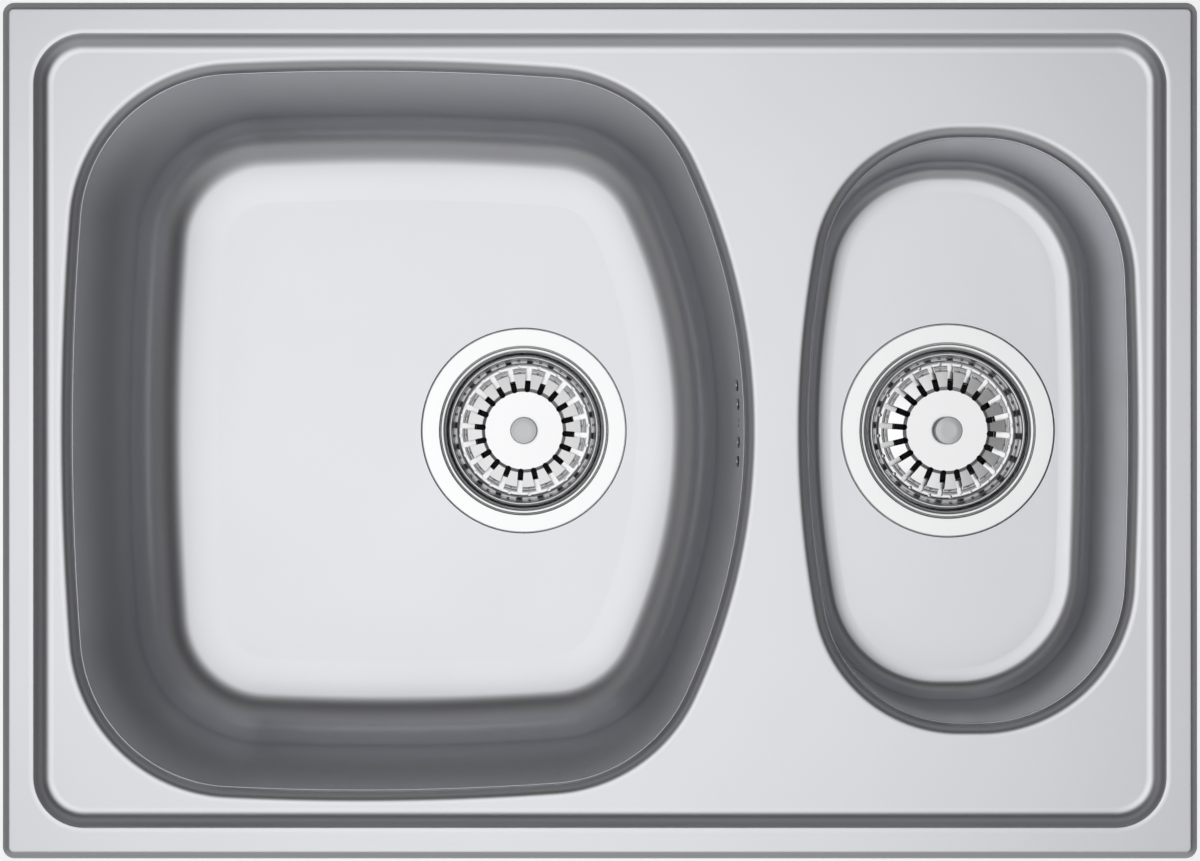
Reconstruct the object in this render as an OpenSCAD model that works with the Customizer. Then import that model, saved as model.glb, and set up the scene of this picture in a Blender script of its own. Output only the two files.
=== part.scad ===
// One and a half bowl kitchen sink in pressed stainless sheet, with its two basket
// wastes, overflow and worktop clips.
// The origin is the middle of the sink on the worktop. +X is right, +Y is the back, +Z is up.

/* [Sink plate] */
// Overall width, left to right
sink_w = 600; // [590:5:680]
// Overall depth, front to back
sink_d = 430; // [422:4:500]
// Thickness of the stainless sheet
sheet_t = 0.8; // [0.6:0.1:1]
// Height of the rim above the worktop
rim_h = 5; // [4.8:0.2:7]
// Radius of the rolled outer edge
edge_roll_r = 4; // [3:0.25:4.25]
// Corner radius of the outer edge, seen from above
edge_corner_r = 6; // [5.5:0.5:14]

/* [Pressed step] */
// Distance from the outer edge to the step
step_inset = 16.4; // [15:0.2:16.8]
// Width of the step, seen from above
step_w = 9.6; // [9:0.2:10.4]
// How far the step drops from the rim to the deck
step_drop = 5; // [4:0.25:5.5]
// Corner radius of the step's outer line
step_corner_r = 25; // [20:1:28]
// Radius of the step's upper bend
step_lip_r = 2; // [1.25:0.25:2.5]
// Radius of the step's lower bend
step_foot_r = 7; // [4:0.25:7.5]

/* [Bowls] */
// Flat strip of deck between the step and the bowls' rolled edges
ledge_w = 2.9; // [2.5:0.1:6]
// Radius of the rolled edge from the deck down into each bowl
bowl_roll_r = 4.5; // [3:0.25:5]
// Width of the main bowl at its rolled edge
main_w = 339.5; // [325:0.5:343]
// Strip of deck between the two bowls, edge to edge
bridge_w = 32.2; // [30:0.2:34]
// Depth of the half bowl front to back, at its rolled edge
half_d = 295.7; // [286:0.5:340]
// Height of the main bowl
main_h = 150; // [130:5:180]
// Height of the half bowl
half_h = 93; // [80:1:120]
// Lean of the main bowl's walls
main_draft = 4; // [2:0.5:5]
// Lean of the half bowl's walls
half_draft = 2.5; // [1:0.5:3]
// Radius between the main bowl's walls and its floor
main_foot_r = 36; // [20:1:40]
// Radius between the half bowl's walls and its floor
half_foot_r = 16; // [10:1:17]

/* [Main bowl outline] */
// Radius of the right side
main_right_r = 315; // [280:5:500]
// Radius of the right corners
main_right_corner_r = 78; // [60:1:90]
// Radius of the front and back
main_end_r = 1400; // [1000:50:2400]
// Radius of the left corners
main_left_corner_r = 78; // [60:1:90]
// Radius of the left side
main_left_r = 1425; // [1000:25:2400]
// Distance from the left side to the widest place of the front and back
main_crown = 146; // [110:1:180]

/* [Half bowl outline] */
// Radius of the right side
half_right_r = 1800; // [1000:50:2400]
// Radius of the right corners
half_right_corner_r = 73; // [55:1:78]
// Radius of the front and back
half_end_r = 2000; // [1000:50:2400]
// Radius of the left corners
half_left_corner_r = 69; // [55:1:78]
// Radius of the left side
half_left_r = 505; // [450:5:900]
// Distance from the left side to the widest place of the front and back
half_crown = 80; // [75:1:86]

/* [Wastes] */
// Distance from the main bowl's left side to its waste
main_waste_from_left = 223.8; // [170:1:235]
// Distance from the half bowl's right side to its waste
half_waste_from_right = 79; // [78.5:0.5:82]
// Diameter of the hole in the bowl's floor
waste_hole_d = 90; // [88:0.5:91]
// Outer diameter of the waste's flange
flange_d = 114; // [110:1:115]
// Depth of the pressed seat that the flange lies in
seat_h = 1.6; // [1.4:0.1:2.5]
// Thickness of the flange
flange_t = 1; // [0.8:0.1:1.2]
// Inner diameter of the waste's cup
cup_d = 86.6; // [84:0.2:87]
// Depth of the cup below the bowl's floor
cup_h = 30; // [27:1:40]
// Inner diameter of the cup's sump
sump_d = 52; // [50:1:60]
// Height of the sump at the bottom of the cup
sump_h = 8; // [7:0.5:10]
// Height of the cone that the plug seats on
seat_cone_h = 12; // [10:1:12]
// Thickness of the gasket above the bowl's floor
flange_gasket_t = 0.5; // [0.3:0.05:0.6]
// Thickness of the gasket below the bowl's floor
body_gasket_t = 2.5; // [2:0.1:4]
// Wall of the moulded waste body
body_wall = 3; // [2.5:0.1:3.5]
// Outer diameter of the outlet's G 1 1/2 thread
outlet_d = 47.8; // [40:0.1:50]
// Length of the outlet
outlet_h = 20; // [15:1:30]
// Diameter of the screw that clamps the waste together
clamp_screw_d = 8; // [7:0.5:9]

/* [Baskets] */
// Gap between the basket's rim and the cup
basket_gap = 1.2; // [0.3:0.1:1.5]
// Diameter of the flat disc in the middle
disc_d = 44; // [40:1:46]
// Number of slots
slot_count = 20; // [12:1:24]
// Width of a slot
slot_w = 3.2; // [2:0.1:3.6]
// Radius of the slots' inner ends
slot_in_r = 21.5; // [20:0.5:23]
// Radius of the slots' outer ends
slot_out_r = 36; // [32:0.5:36]
// Turn of the slots, clockwise from the back
slot_turn = 4.5; // [0:0.5:9]
// Width of the flat gutter round the cone
gutter_w = 5.3; // [4:0.1:6.5]
// Diameter of the drain holes in the gutter
drain_d = 1.6; // [1:0.1:1.8]
// Diameter of the knob
knob_d = 15; // [12:1:20]
// Height of the knob's top above the disc
knob_h = 8; // [6:0.5:14]
// Thickness of the rubber plug
plug_t = 4; // [3:0.5:5]

/* [Overflow] */
// Height of the slots' middle below the deck
overflow_drop = 28; // [24:1:40]
// Shift of the overflow to the back of the bowl's middle
overflow_y = 3.7; // [-20:0.1:20]
// Distance between neighbouring slots
overflow_pitch = 9.8; // [9:0.1:12]
// Width of an overflow slot
overflow_slot_w = 6; // [4:0.5:6.5]
// Height of an overflow slot
overflow_slot_h = 11; // [8:0.5:12]
// Outer diameter of the overflow pipe
pipe_d = 20; // [16:0.5:21]
// Wall of the overflow pipe
pipe_wall = 2; // [1.5:0.1:2.5]
// Radius of the pipe's bend
pipe_bend_r = 22; // [18:1:26]

/* [Clips] */
// Thickness of the worktop that the clips reach round
worktop_t = 38; // [26:1:40]
// Distance from the worktop's cut-out to the sink's edge
cutout_inset = 10; // [8:0.5:11]
// Distance from the sink's edge to the clip screws
clip_inset = 19.3; // [19:0.1:20]
// Distance of the front and back clips from the middle
clip_x = 150; // [120:5:200]
// Distance of the left and right clips from the middle
clip_y = 100; // [70:5:110]
// Length of a jaw from its screw to its tip
jaw_l = 34; // [28:1:40]
// Diameter of the clip screws
clip_screw_d = 5; // [4:0.5:5]

/* [Hidden] */
$fn = 96;
sweep_fn = 256;
chord_sag = 0.03;
bend_steps = 8;
foot_steps = 12;
overlap = 0.6;
wedge_margin = 4;
face_gap = 0.05;
metal_color = [0.8, 0.81, 0.82];
dark_rubber = [0.12, 0.12, 0.13];
moulding_color = [0.9, 0.9, 0.88];

deck_z = rim_h - step_drop;
seam_z = deck_z - bowl_roll_r;
bowl_inset = step_inset + step_w + ledge_w + bowl_roll_r;
main_left = bowl_inset - sink_w / 2;
main_right = main_left + main_w;
half_left = main_right + bridge_w;
half_right = sink_w / 2 - bowl_inset;
main_d = sink_d - 2 * bowl_inset;
main_at = [main_left + main_waste_from_left, 0, deck_z - main_h];
half_at = [half_right - half_waste_from_right, 0, deck_z - half_h];

seat_r = flange_d / 2 + 1.3;
seat_hole_r = waste_hole_d / 2;
under_seat = -seat_h - sheet_t;
cup_r = cup_d / 2;
mouth_roll_r = 2.3;
sump_r = sump_d / 2;
sump_top = sump_h - cup_h;
cone_top = sump_top + seat_cone_h;
body_top = under_seat - body_gasket_t - 2 * face_gap;
body_in_r = cup_r + sheet_t + 1.2;
body_out_r = body_in_r + body_wall;
boss_top = -cup_h - sheet_t - 1;
boss_h = 12;
boss_r = 9;
body_floor = boss_top - boss_h;
body_cone_h = 12;
outlet_top = body_floor - body_cone_h;
outlet_end = outlet_top - outlet_h;
outlet_r = outlet_d / 2;
outlet_in = outlet_r - body_wall - 1;
neck_rise = 0.4;
neck_z = outlet_top + body_wall + neck_rise;
neck_in = outlet_in + neck_rise * (body_in_r - outlet_in) / body_cone_h;
neck_out = outlet_r + (body_wall + neck_rise) * (body_out_r - outlet_r) / body_cone_h;
screw_head_h = 5;
screw_head_r = 9;
socket_gap = 0.3;
stem_r = 3.2;
pin_r = 2.5;

basket_r = cup_r - basket_gap;
bead_r = 1;
rim_z = -1.8;
disc_z = -3.6;
disc_step = 1.6;
gutter_z = -10.5;
gutter_r = basket_r - 3.8;
plug_bottom = sump_top + 1;
plug_r = sump_r + 1.2;

overflow_z = deck_z - overflow_drop;
head_margin_y = 8;
head_margin_z = 7;
head_w = 4 * overflow_pitch + overflow_slot_w + 2 * head_margin_y;
head_h = overflow_slot_h + 2 * head_margin_z;
head_depth = 22;
head_wall = 2.5;
spout_l = 16;
gasket_reach = 2;
wall_reach = 12;
screw_hole_r = 2.6;
head_x = main_right + sheet_t - (overflow_drop - head_h / 2 - bowl_roll_r) * tan(main_draft) + gasket_reach;
spout_x = head_x + head_depth / 2;
spout_end = overflow_z - head_h / 2 - spout_l;
pipe_r = pipe_d / 2;
spigot_z = main_at.z + body_top - 21;
spigot_end = flange_d / 2 + 15;
pipe_turn = atan2(overflow_y - main_at.y, spout_x - main_at.x);
pipe_reach = hundredth(norm([spout_x - main_at.x, overflow_y - main_at.y]));

pad_t = 2;
pad_corner_r = 8;
pad_gap = 8;
main_pad = [140, 52];
half_pad = [90, 46];

bracket_t = 1.2;
bracket_at = step_inset + step_w + 0.2;
bracket_flange = ledge_w - 0.4;
bracket_l = 40;
bracket_drop = 11;
shelf_from = cutout_inset + 3.5;
jaw_top = -worktop_t - 2;
jaw_t = 4;
jaw_w = 13;
jaw_tooth_h = 3;
clip_hinge_gap = 0.05;

// Each place on the rim that has a clip, as [x, y, direction outwards]
clip_places = [
    for (side = [1, -1]) for (end = [-1, 1]) [end * clip_x, side * sink_d / 2, side * 90],
    for (side = [1, -1]) for (end = [-1, 1]) [side * sink_w / 2, end * clip_y, 90 - side * 90]
];

// Points of a bend with their outward directions, as [across, up, direction across, direction up]
function bend(centre, r, from, to, facing, steps = bend_steps) = [
    for (i = [0:steps]) let (a = from + (to - from) * i / steps)
        [centre.x + r * cos(a), centre.y + r * sin(a), facing * cos(a), facing * sin(a)]
];

// A closed strip of sheet under a run of such points
function strip(run) = concat(
    [for (p = run) [p[0], p[1]]],
    [for (i = [len(run) - 1:-1:0]) let (p = run[i]) [p[0] - sheet_t * p[2], p[1] - sheet_t * p[3]]]
);

// Where two circles cross, on the left of the way from p to q
function crossing(p, p_r, q, q_r) =
    let (
        way = q - p,
        apart = norm(way),
        along = (p_r * p_r - q_r * q_r + apart * apart) / (2 * apart),
        aside = sqrt(p_r * p_r - along * along)
    )
    p + along * way / apart + aside * [-way.y, way.x] / apart;

// The direction from p to q, in degrees
function heading(p, q) = atan2(q.y - p.y, q.x - p.x);

// A bowl's outline as eight arcs that run into each other, each [centre, radius, from, to]
function bowl_outline(left, right, depth, crown, right_r, right_corner_r, end_r, left_corner_r, left_r) =
    let (
        right_c = [right - right_r, 0],
        end_c = [left + crown, depth / 2 - end_r],
        left_c = [left + left_r, 0],
        right_corner = crossing(right_c, right_r - right_corner_r, end_c, end_r - right_corner_r),
        left_corner = crossing(end_c, end_r - left_corner_r, left_c, left_r - left_corner_r),
        a = heading(right_c, right_corner),
        b = heading(end_c, right_corner),
        c = heading(end_c, left_corner),
        d = heading(left_c, left_corner)
    )
    [
        [right_c, right_r, -a, a],
        [right_corner, right_corner_r, a, b],
        [end_c, end_r, b, c],
        [left_corner, left_corner_r, c, d],
        [left_c, left_r, d, 360 - d],
        [[left_corner.x, -left_corner.y], left_corner_r, 360 - d, 360 - c],
        [[end_c.x, -end_c.y], end_r, 360 - c, 360 - b],
        [[right_corner.x, -right_corner.y], right_corner_r, 360 - b, 360 - a]
    ];

main_outline = bowl_outline(main_left, main_right, main_d, main_crown, main_right_r,
    main_right_corner_r, main_end_r, main_left_corner_r, main_left_r);
half_outline = bowl_outline(half_left, half_right, half_d, half_crown, half_right_r,
    half_right_corner_r, half_end_r, half_left_corner_r, half_left_r);

// The outline's points, moved inwards by inset, so close that no chord strays far from its arc.
// None lies on the lines where the arcs meet.
function outline_points(outline, inset) = [
    for (arc = outline) let (steps = ceil((arc[3] - arc[2]) / (2 * acos(1 - chord_sag / arc[1]))))
        for (i = [0:steps - 1]) let (a = arc[2] + (arc[3] - arc[2]) * (i + 0.5) / steps)
            arc[0] + (arc[1] - inset) * [cos(a), sin(a)]
];

// How far a bowl's wall has come in where its floor begins
function wall_run(height, draft, foot_r) =
    (height - bowl_roll_r - foot_r) * tan(draft) + foot_r / cos(draft);

// Rounded to a hundredth of a millimetre, so that neighbouring stretches meet exactly
function hundredth(v) = round(v * 100) / 100;

// Carries a strip round a bowl's outline: each arc's stretch is a full turn, cut to a wedge
// whose two ends are the lines where the outline's arcs meet
module sweep_outline(outline, points) {
    count = len(outline);
    outside = wedge_margin - min([for (p = points) p.x]);
    inside = wedge_margin + max([for (p = points) p.x]);
    low = min([for (p = points) p.y]) - wedge_margin;
    high = max([for (p = points) p.y]) + wedge_margin;
    ends = [
        for (arc = outline) let (out = [cos(arc[2]), sin(arc[2])])
            [arc[0] + (arc[1] - inside) * out, arc[0] + (arc[1] + outside) * out]
    ];
    for (i = [0:count - 1]) {
        arc = outline[i];
        next = ends[(i + 1) % count];
        middle = (arc[2] + arc[3]) / 2;
        far = (arc[1] + outside + 1) / cos(middle - arc[2]);
        r = hundredth(arc[1]);
        intersection() {
            translate([hundredth(arc[0].x), hundredth(arc[0].y)])
                rotate_extrude($fn = sweep_fn)
                    polygon([for (p = points) [r - hundredth(p.x), hundredth(p.y)]]);
            translate([0, 0, low])
                linear_extrude(high - low)
                    polygon([
                        ends[i][0], ends[i][1], arc[0] + far * [cos(middle), sin(middle)],
                        next[1], next[0]
                    ]);
        }
    }
}

// Carries a strip round a rectangle with round corners
module sweep_rectangle(w, d, r, points) {
    for (turn = [0:3]) {
        across = turn % 2 == 0 ? w : d;
        along = turn % 2 == 0 ? d : w;
        rotate([0, 0, 90 * turn]) {
            translate([across / 2, along / 2 - r, 0])
                rotate([90, 0, 0])
                    linear_extrude(along - 2 * r)
                        polygon([for (p = points) [-p.x, p.y]]);
            translate([across / 2 - r, along / 2 - r, 0])
                rotate_extrude(angle = 90)
                    polygon([for (p = points) [r - p.x, p.y]]);
        }
    }
}

// A rectangle with round corners, moved inwards by inset
module round_rectangle(w, d, r, inset = 0) {
    corner = r - inset;
    square([w - 2 * inset - 2 * corner, d - 2 * inset], center = true);
    square([w - 2 * inset, d - 2 * inset - 2 * corner], center = true);
    for (x = [-1, 1], y = [-1, 1])
        translate([x * (w / 2 - r), y * (d / 2 - r)])
            circle(corner);
}

// A tube stood on its lower end
module tube(outer_r, inner_r, h) {
    difference() {
        cylinder(h, outer_r, outer_r);
        translate([0, 0, -1])
            cylinder(h + 2, inner_r, inner_r);
    }
}

// A slot with round ends, long along Y
module slot_shape(w, l) {
    square([w, l - w], center = true);
    for (end = [-1, 1])
        translate([0, end * (l - w) / 2])
            circle(w / 2);
}

// The rolled edge: down from the rim to just over the worktop
function edge_run() = concat(
    [[0, 2 * face_gap + 0.3, -1, 0]],
    bend([edge_roll_r, rim_h - edge_roll_r], edge_roll_r, 180, 90, 1),
    [[edge_roll_r + overlap, rim_h, 0, 1]]
);

// The lean of the step's slope that joins its two bends over its width and drop
function step_lean() =
    let (r = step_lip_r + step_foot_r, rise = r - step_drop)
    asin(r / norm([step_w, rise])) - atan2(rise, step_w);

// The step: from the rim over the lip, down the slope and out along the deck
function step_run() =
    let (lean = step_lean())
    concat(
        [[-overlap, rim_h, 0, 1]],
        bend([0, rim_h - step_lip_r], step_lip_r, 90, 90 - lean, 1),
        bend([step_w, deck_z + step_foot_r], step_foot_r, 270 - lean, 270, -1),
        [[step_w + overlap, deck_z, 0, 1]]
    );

// The deck's rolled edge into a bowl, which ends level at the seam
function bowl_edge_run() = concat(
    [[-bowl_roll_r - overlap, deck_z, 0, 1]],
    bend([-bowl_roll_r, deck_z - bowl_roll_r], bowl_roll_r, 90, 0, 1)
);

// A bowl's wall, from its level top at the seam to its floor
function wall_points(height, draft, foot_r) =
    let (floor_z = deck_z - height, run = wall_run(height, draft, foot_r))
    strip(concat(
        [[0, seam_z, 1 / cos(draft), 0]],
        bend([run, floor_z + foot_r], foot_r, 180 + draft, 270, -1, foot_steps),
        [[run + overlap, floor_z, 0, 1]]
    ));

module deck_panel() {
    color(metal_color) {
        sweep_rectangle(sink_w, sink_d, edge_corner_r, strip(edge_run()));
        translate([0, 0, rim_h - sheet_t])
            linear_extrude(sheet_t)
                difference() {
                    round_rectangle(sink_w, sink_d, edge_corner_r, edge_roll_r + overlap / 2);
                    round_rectangle(sink_w - 2 * step_inset, sink_d - 2 * step_inset,
                        step_corner_r, -overlap / 2);
                }
        sweep_rectangle(sink_w - 2 * step_inset, sink_d - 2 * step_inset, step_corner_r,
            strip(step_run()));
        translate([0, 0, deck_z - sheet_t])
            linear_extrude(sheet_t)
                difference() {
                    round_rectangle(sink_w - 2 * step_inset, sink_d - 2 * step_inset,
                        step_corner_r, step_w + overlap / 2);
                    polygon(outline_points(main_outline, -bowl_roll_r - overlap / 2));
                    polygon(outline_points(half_outline, -bowl_roll_r - overlap / 2));
                }
        sweep_outline(main_outline, strip(bowl_edge_run()));
        sweep_outline(half_outline, strip(bowl_edge_run()));
    }
}

// A pressed bowl with a seat for its waste
module bowl(outline, at, height, draft, foot_r) {
    inset = wall_run(height, draft, foot_r) + overlap / 2;
    sweep_outline(outline, wall_points(height, draft, foot_r));
    translate([0, 0, at.z - sheet_t])
        linear_extrude(sheet_t)
            difference() {
                polygon(outline_points(outline, inset));
                translate([at.x, at.y])
                    circle(seat_r);
            }
    translate([at.x, at.y, at.z + under_seat]) {
        tube(seat_r + sheet_t, seat_r, seat_h + sheet_t);
        tube(seat_r + overlap, seat_hole_r, sheet_t);
    }
}

module main_bowl() {
    color(metal_color)
        difference() {
            bowl(main_outline, main_at, main_h, main_draft, main_foot_r);
            for (i = [-2, -1, 1, 2])
                translate([head_x - wall_reach, overflow_y + i * overflow_pitch, overflow_z])
                    rotate([90, 0, 90])
                        linear_extrude(wall_reach + gasket_reach)
                            slot_shape(overflow_slot_w, overflow_slot_h);
            translate([head_x - wall_reach, overflow_y, overflow_z])
                rotate([0, 90, 0])
                    cylinder(wall_reach + gasket_reach, screw_hole_r, screw_hole_r);
        }
}

module half_bowl() {
    color(metal_color)
        bowl(half_outline, half_at, half_h, half_draft, half_foot_r);
}

// The foam strip that lies on the worktop under the rim
module rim_seal() {
    color(dark_rubber)
        linear_extrude(rim_h - sheet_t - face_gap)
            difference() {
                round_rectangle(sink_w, sink_d, edge_corner_r, edge_roll_r + 0.6);
                round_rectangle(sink_w - 2 * cutout_inset, sink_d - 2 * cutout_inset,
                    edge_corner_r, -0.4);
            }
}

// Two rubber pads stuck under a bowl's floor, in front of and behind its waste
module sound_pads(at, size) {
    pad_top = at.z - sheet_t - face_gap;
    color(dark_rubber)
        for (side = [-1, 1])
            translate([at.x, at.y + side * (seat_r + pad_gap + size.y / 2), pad_top - pad_t])
                linear_extrude(pad_t)
                    round_rectangle(size.x, size.y, pad_corner_r);
}

module main_sound_pads() {
    sound_pads(main_at, main_pad);
}

module half_sound_pads() {
    sound_pads(half_at, half_pad);
}

// Puts a clip at a place on the rim, with +X outwards from the sink's edge
module at_place(place) {
    translate([place.x, place.y, 0])
        rotate([0, 0, place.z])
            children();
}

// A folded steel bracket under the ledge: flange, web and shelf with the screw's hole
module clip_bracket() {
    top = deck_z - sheet_t - face_gap;
    difference() {
        union() {
            translate([-bracket_at - bracket_flange, -bracket_l / 2, top - bracket_t])
                cube([bracket_flange, bracket_l, bracket_t]);
            translate([-bracket_at - bracket_t, -bracket_l / 2, top - bracket_drop])
                cube([bracket_t, bracket_l, bracket_drop]);
            translate([-bracket_at - bracket_t, -bracket_l / 2, top - bracket_drop])
                cube([bracket_at + bracket_t - shelf_from, bracket_l, bracket_t]);
        }
        translate([-clip_inset, 0, top - bracket_drop - 1])
            cylinder(bracket_t + 2, clip_screw_d / 2 + 0.1, clip_screw_d / 2 + 0.1);
    }
}

module clip_brackets() {
    color([0.7, 0.71, 0.73])
        for (place = clip_places)
            at_place(place)
                clip_bracket();
}

// A clip's screw: driven from below, with a cross recess in its head
module clip_screw() {
    head_top = jaw_top - jaw_tooth_h - jaw_t - face_gap;
    head_h = 3.2;
    screw_top = deck_z - sheet_t - 3;
    translate([-clip_inset, 0, 0]) {
        translate([0, 0, head_top - 0.1])
            cylinder(screw_top - head_top + 0.1, clip_screw_d / 2, clip_screw_d / 2);
        translate([0, 0, head_top - head_h])
            difference() {
                cylinder(head_h, clip_screw_d * 0.9, clip_screw_d * 0.9);
                for (turn = [0, 90])
                    rotate([0, 0, turn])
                        translate([-2.4, -0.5, -1])
                            cube([4.8, 1, 2.6]);
            }
    }
}

module clip_screws() {
    color([0.75, 0.75, 0.72])
        for (place = clip_places)
            at_place(place)
                clip_screw();
}

// A jaw parked along the rim: a lever with a toothed tip, turning on the clip's screw
module clip_jaw(place) {
    low = jaw_top - jaw_tooth_h - jaw_t;
    hole_r = clip_screw_d / 2 + clip_hinge_gap;
    color([0.72, 0.72, 0.7])
        at_place(place)
            translate([-clip_inset, 0, low])
                difference() {
                    union() {
                        cylinder(jaw_t + jaw_tooth_h, jaw_w / 2, jaw_w / 2);
                        translate([-jaw_w / 2, 0, 0])
                            cube([jaw_w, jaw_l, jaw_t]);
                        for (i = [0:2])
                            translate([-jaw_w / 2, jaw_l - 9 + 3.5 * i, 0])
                                cube([jaw_w, 2, jaw_t + jaw_tooth_h]);
                    }
                    translate([0, 0, -1])
                        cylinder(jaw_t + jaw_tooth_h + 2, hole_r, hole_r);
                }
}

// The stainless flange and cup: pressed mouth, cone that the plug seats on, sump with holes
module waste_flange(at) {
    r = flange_d / 2;
    mouth_r = cup_r + mouth_roll_r;
    outer = cup_r + sheet_t;
    sump_out = sump_r + sheet_t;
    profile = concat(
        [[r, 0], [r, -flange_t], [outer + 0.6, -flange_t], [outer, -flange_t - 0.6]],
        [[outer, cone_top], [sump_out, sump_top], [sump_out, -cup_h - sheet_t]],
        [[0, -cup_h - sheet_t], [0, -cup_h], [sump_r, -cup_h], [sump_r, sump_top]],
        [[cup_r, cone_top]],
        [for (i = [0:bend_steps]) let (a = 180 - 90 * i / bend_steps)
            [mouth_r + mouth_roll_r * cos(a), mouth_roll_r * (sin(a) - 1)]]
    );
    color(metal_color)
        translate(at)
            difference() {
                rotate_extrude()
                    polygon(profile);
                translate([0, 0, -cup_h - sheet_t - 1])
                    cylinder(sheet_t + 2, clamp_screw_d / 2 + 0.2, clamp_screw_d / 2 + 0.2);
                for (turn = [0:60:300])
                    rotate([0, 0, turn])
                        translate([(screw_head_r + sump_r) / 2, 0, -cup_h - sheet_t - 1])
                            cylinder(sheet_t + 2, 7, 7);
            }
}

module flange_gasket(at) {
    color(dark_rubber)
        translate([at.x, at.y, at.z - seat_h + face_gap])
            tube(flange_d / 2 - 0.5, seat_hole_r + 1, flange_gasket_t);
}

module body_gasket(at) {
    color(dark_rubber)
        translate([at.x, at.y, at.z + under_seat - face_gap - body_gasket_t])
            tube(flange_d / 2, body_in_r, body_gasket_t);
}

// The moulded waste body: flange, cup, boss on ribs for the clamp screw, cone down to the neck
module waste_body(at, spigot = false) {
    flange_r = flange_d / 2;
    color(moulding_color)
        translate(at)
            difference() {
                union() {
                    rotate_extrude()
                        polygon([
                            [body_in_r, body_top], [flange_r, body_top], [flange_r, body_top - 3.5],
                            [body_out_r, body_top - 3.5], [body_out_r, body_floor],
                            [neck_out, neck_z], [neck_in, neck_z], [body_in_r, body_floor + body_wall]
                        ]);
                    translate([0, 0, boss_top - boss_h])
                        cylinder(boss_h, boss_r, boss_r);
                    for (turn = [45:90:315])
                        rotate([0, 0, turn])
                            translate([boss_r - 1, -1.5, body_floor + body_wall - 1])
                                cube([body_in_r - boss_r + 1.5, 3, boss_h - body_wall - 1]);
                    if (spigot)
                        rotate([0, 0, pipe_turn])
                            translate([0, 0, spigot_z - at.z])
                                rotate([0, 90, 0])
                                    translate([0, 0, body_in_r + 0.5])
                                        cylinder(spigot_end - body_in_r - 0.5, pipe_r, pipe_r);
                }
                translate([0, 0, body_floor - 1])
                    cylinder(boss_h + 2, clamp_screw_d / 2 + 0.1, clamp_screw_d / 2 + 0.1);
                if (spigot)
                    rotate([0, 0, pipe_turn])
                        translate([body_in_r - 2, 0, spigot_z - at.z])
                            rotate([0, 90, 0])
                                cylinder(spigot_end - body_in_r + 4, pipe_r - pipe_wall,
                                    pipe_r - pipe_wall);
            }
}

// The neck and outlet, moulded in one with the body's cone, with a plain cylinder for its thread
module waste_outlet(at) {
    color(moulding_color)
        translate(at)
            rotate_extrude()
                polygon([
                    [outlet_in, outlet_end], [outlet_r, outlet_end], [outlet_r, outlet_top],
                    [neck_out, neck_z], [neck_in, neck_z], [outlet_in, outlet_top + body_wall]
                ]);
}

// The clamp screw, with a blind socket in its head for the basket's pin
module clamp_screw(at) {
    tip = body_floor - 8;
    socket_r = pin_r + socket_gap;
    color([0.72, 0.73, 0.74])
        translate(at)
            difference() {
                union() {
                    translate([0, 0, tip])
                        cylinder(-cup_h - tip + 0.5, clamp_screw_d / 2, clamp_screw_d / 2);
                    translate([0, 0, -cup_h + face_gap])
                        cylinder(screw_head_h, screw_head_r, screw_head_r);
                }
                translate([0, 0, -cup_h - 6])
                    cylinder(screw_head_h + 8, socket_r, socket_r);
            }
}

// The brass nut that the clamp screw pulls up against the boss
module clamp_nut(at) {
    color([0.78, 0.63, 0.3])
        translate([at.x, at.y, at.z + body_floor - face_gap - 6])
            difference() {
                cylinder(6, 7.5, 7.5, $fn = 6);
                translate([0, 0, -1])
                    cylinder(8, clamp_screw_d / 2 + 0.05, clamp_screw_d / 2 + 0.05);
            }
}

// The stainless strainer: flat disc, slotted cone, gutter with drain holes, beaded rim
module basket(at) {
    disc_r = disc_d / 2;
    wall_r = basket_r - sheet_t;
    foot_out = gutter_r + sheet_t;
    step_r = disc_r + disc_step;
    cone_r = gutter_r - gutter_w;
    color(metal_color)
        translate(at)
            difference() {
                union() {
                    rotate_extrude()
                        polygon([
                            [0, disc_z], [disc_r, disc_z], [step_r, disc_z - disc_step],
                            [cone_r, gutter_z], [gutter_r, gutter_z], [wall_r, rim_z],
                            [basket_r, rim_z], [foot_out, gutter_z - sheet_t],
                            [cone_r, gutter_z - sheet_t],
                            [step_r, disc_z - disc_step - sheet_t], [disc_r, disc_z - sheet_t],
                            [0, disc_z - sheet_t]
                        ]);
                    rotate_extrude()
                        translate([basket_r - bead_r, rim_z])
                            circle(bead_r);
                }
                for (i = [0:slot_count - 1])
                    rotate([0, 0, 90 - slot_turn - 360 / slot_count * i]) {
                        translate([(slot_in_r + slot_out_r) / 2, 0, gutter_z - 2])
                            linear_extrude(-gutter_z)
                                rotate([0, 0, 90])
                                    slot_shape(slot_w, slot_out_r - slot_in_r);
                        rotate([0, 0, 180 / slot_count])
                            translate([gutter_r - 1, 0, gutter_z - 2])
                                cylinder(4, drain_d / 2, drain_d / 2);
                    }
                translate([0, 0, disc_z - 3])
                    cylinder(5, stem_r + 0.05, stem_r + 0.05);
            }
}

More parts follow.
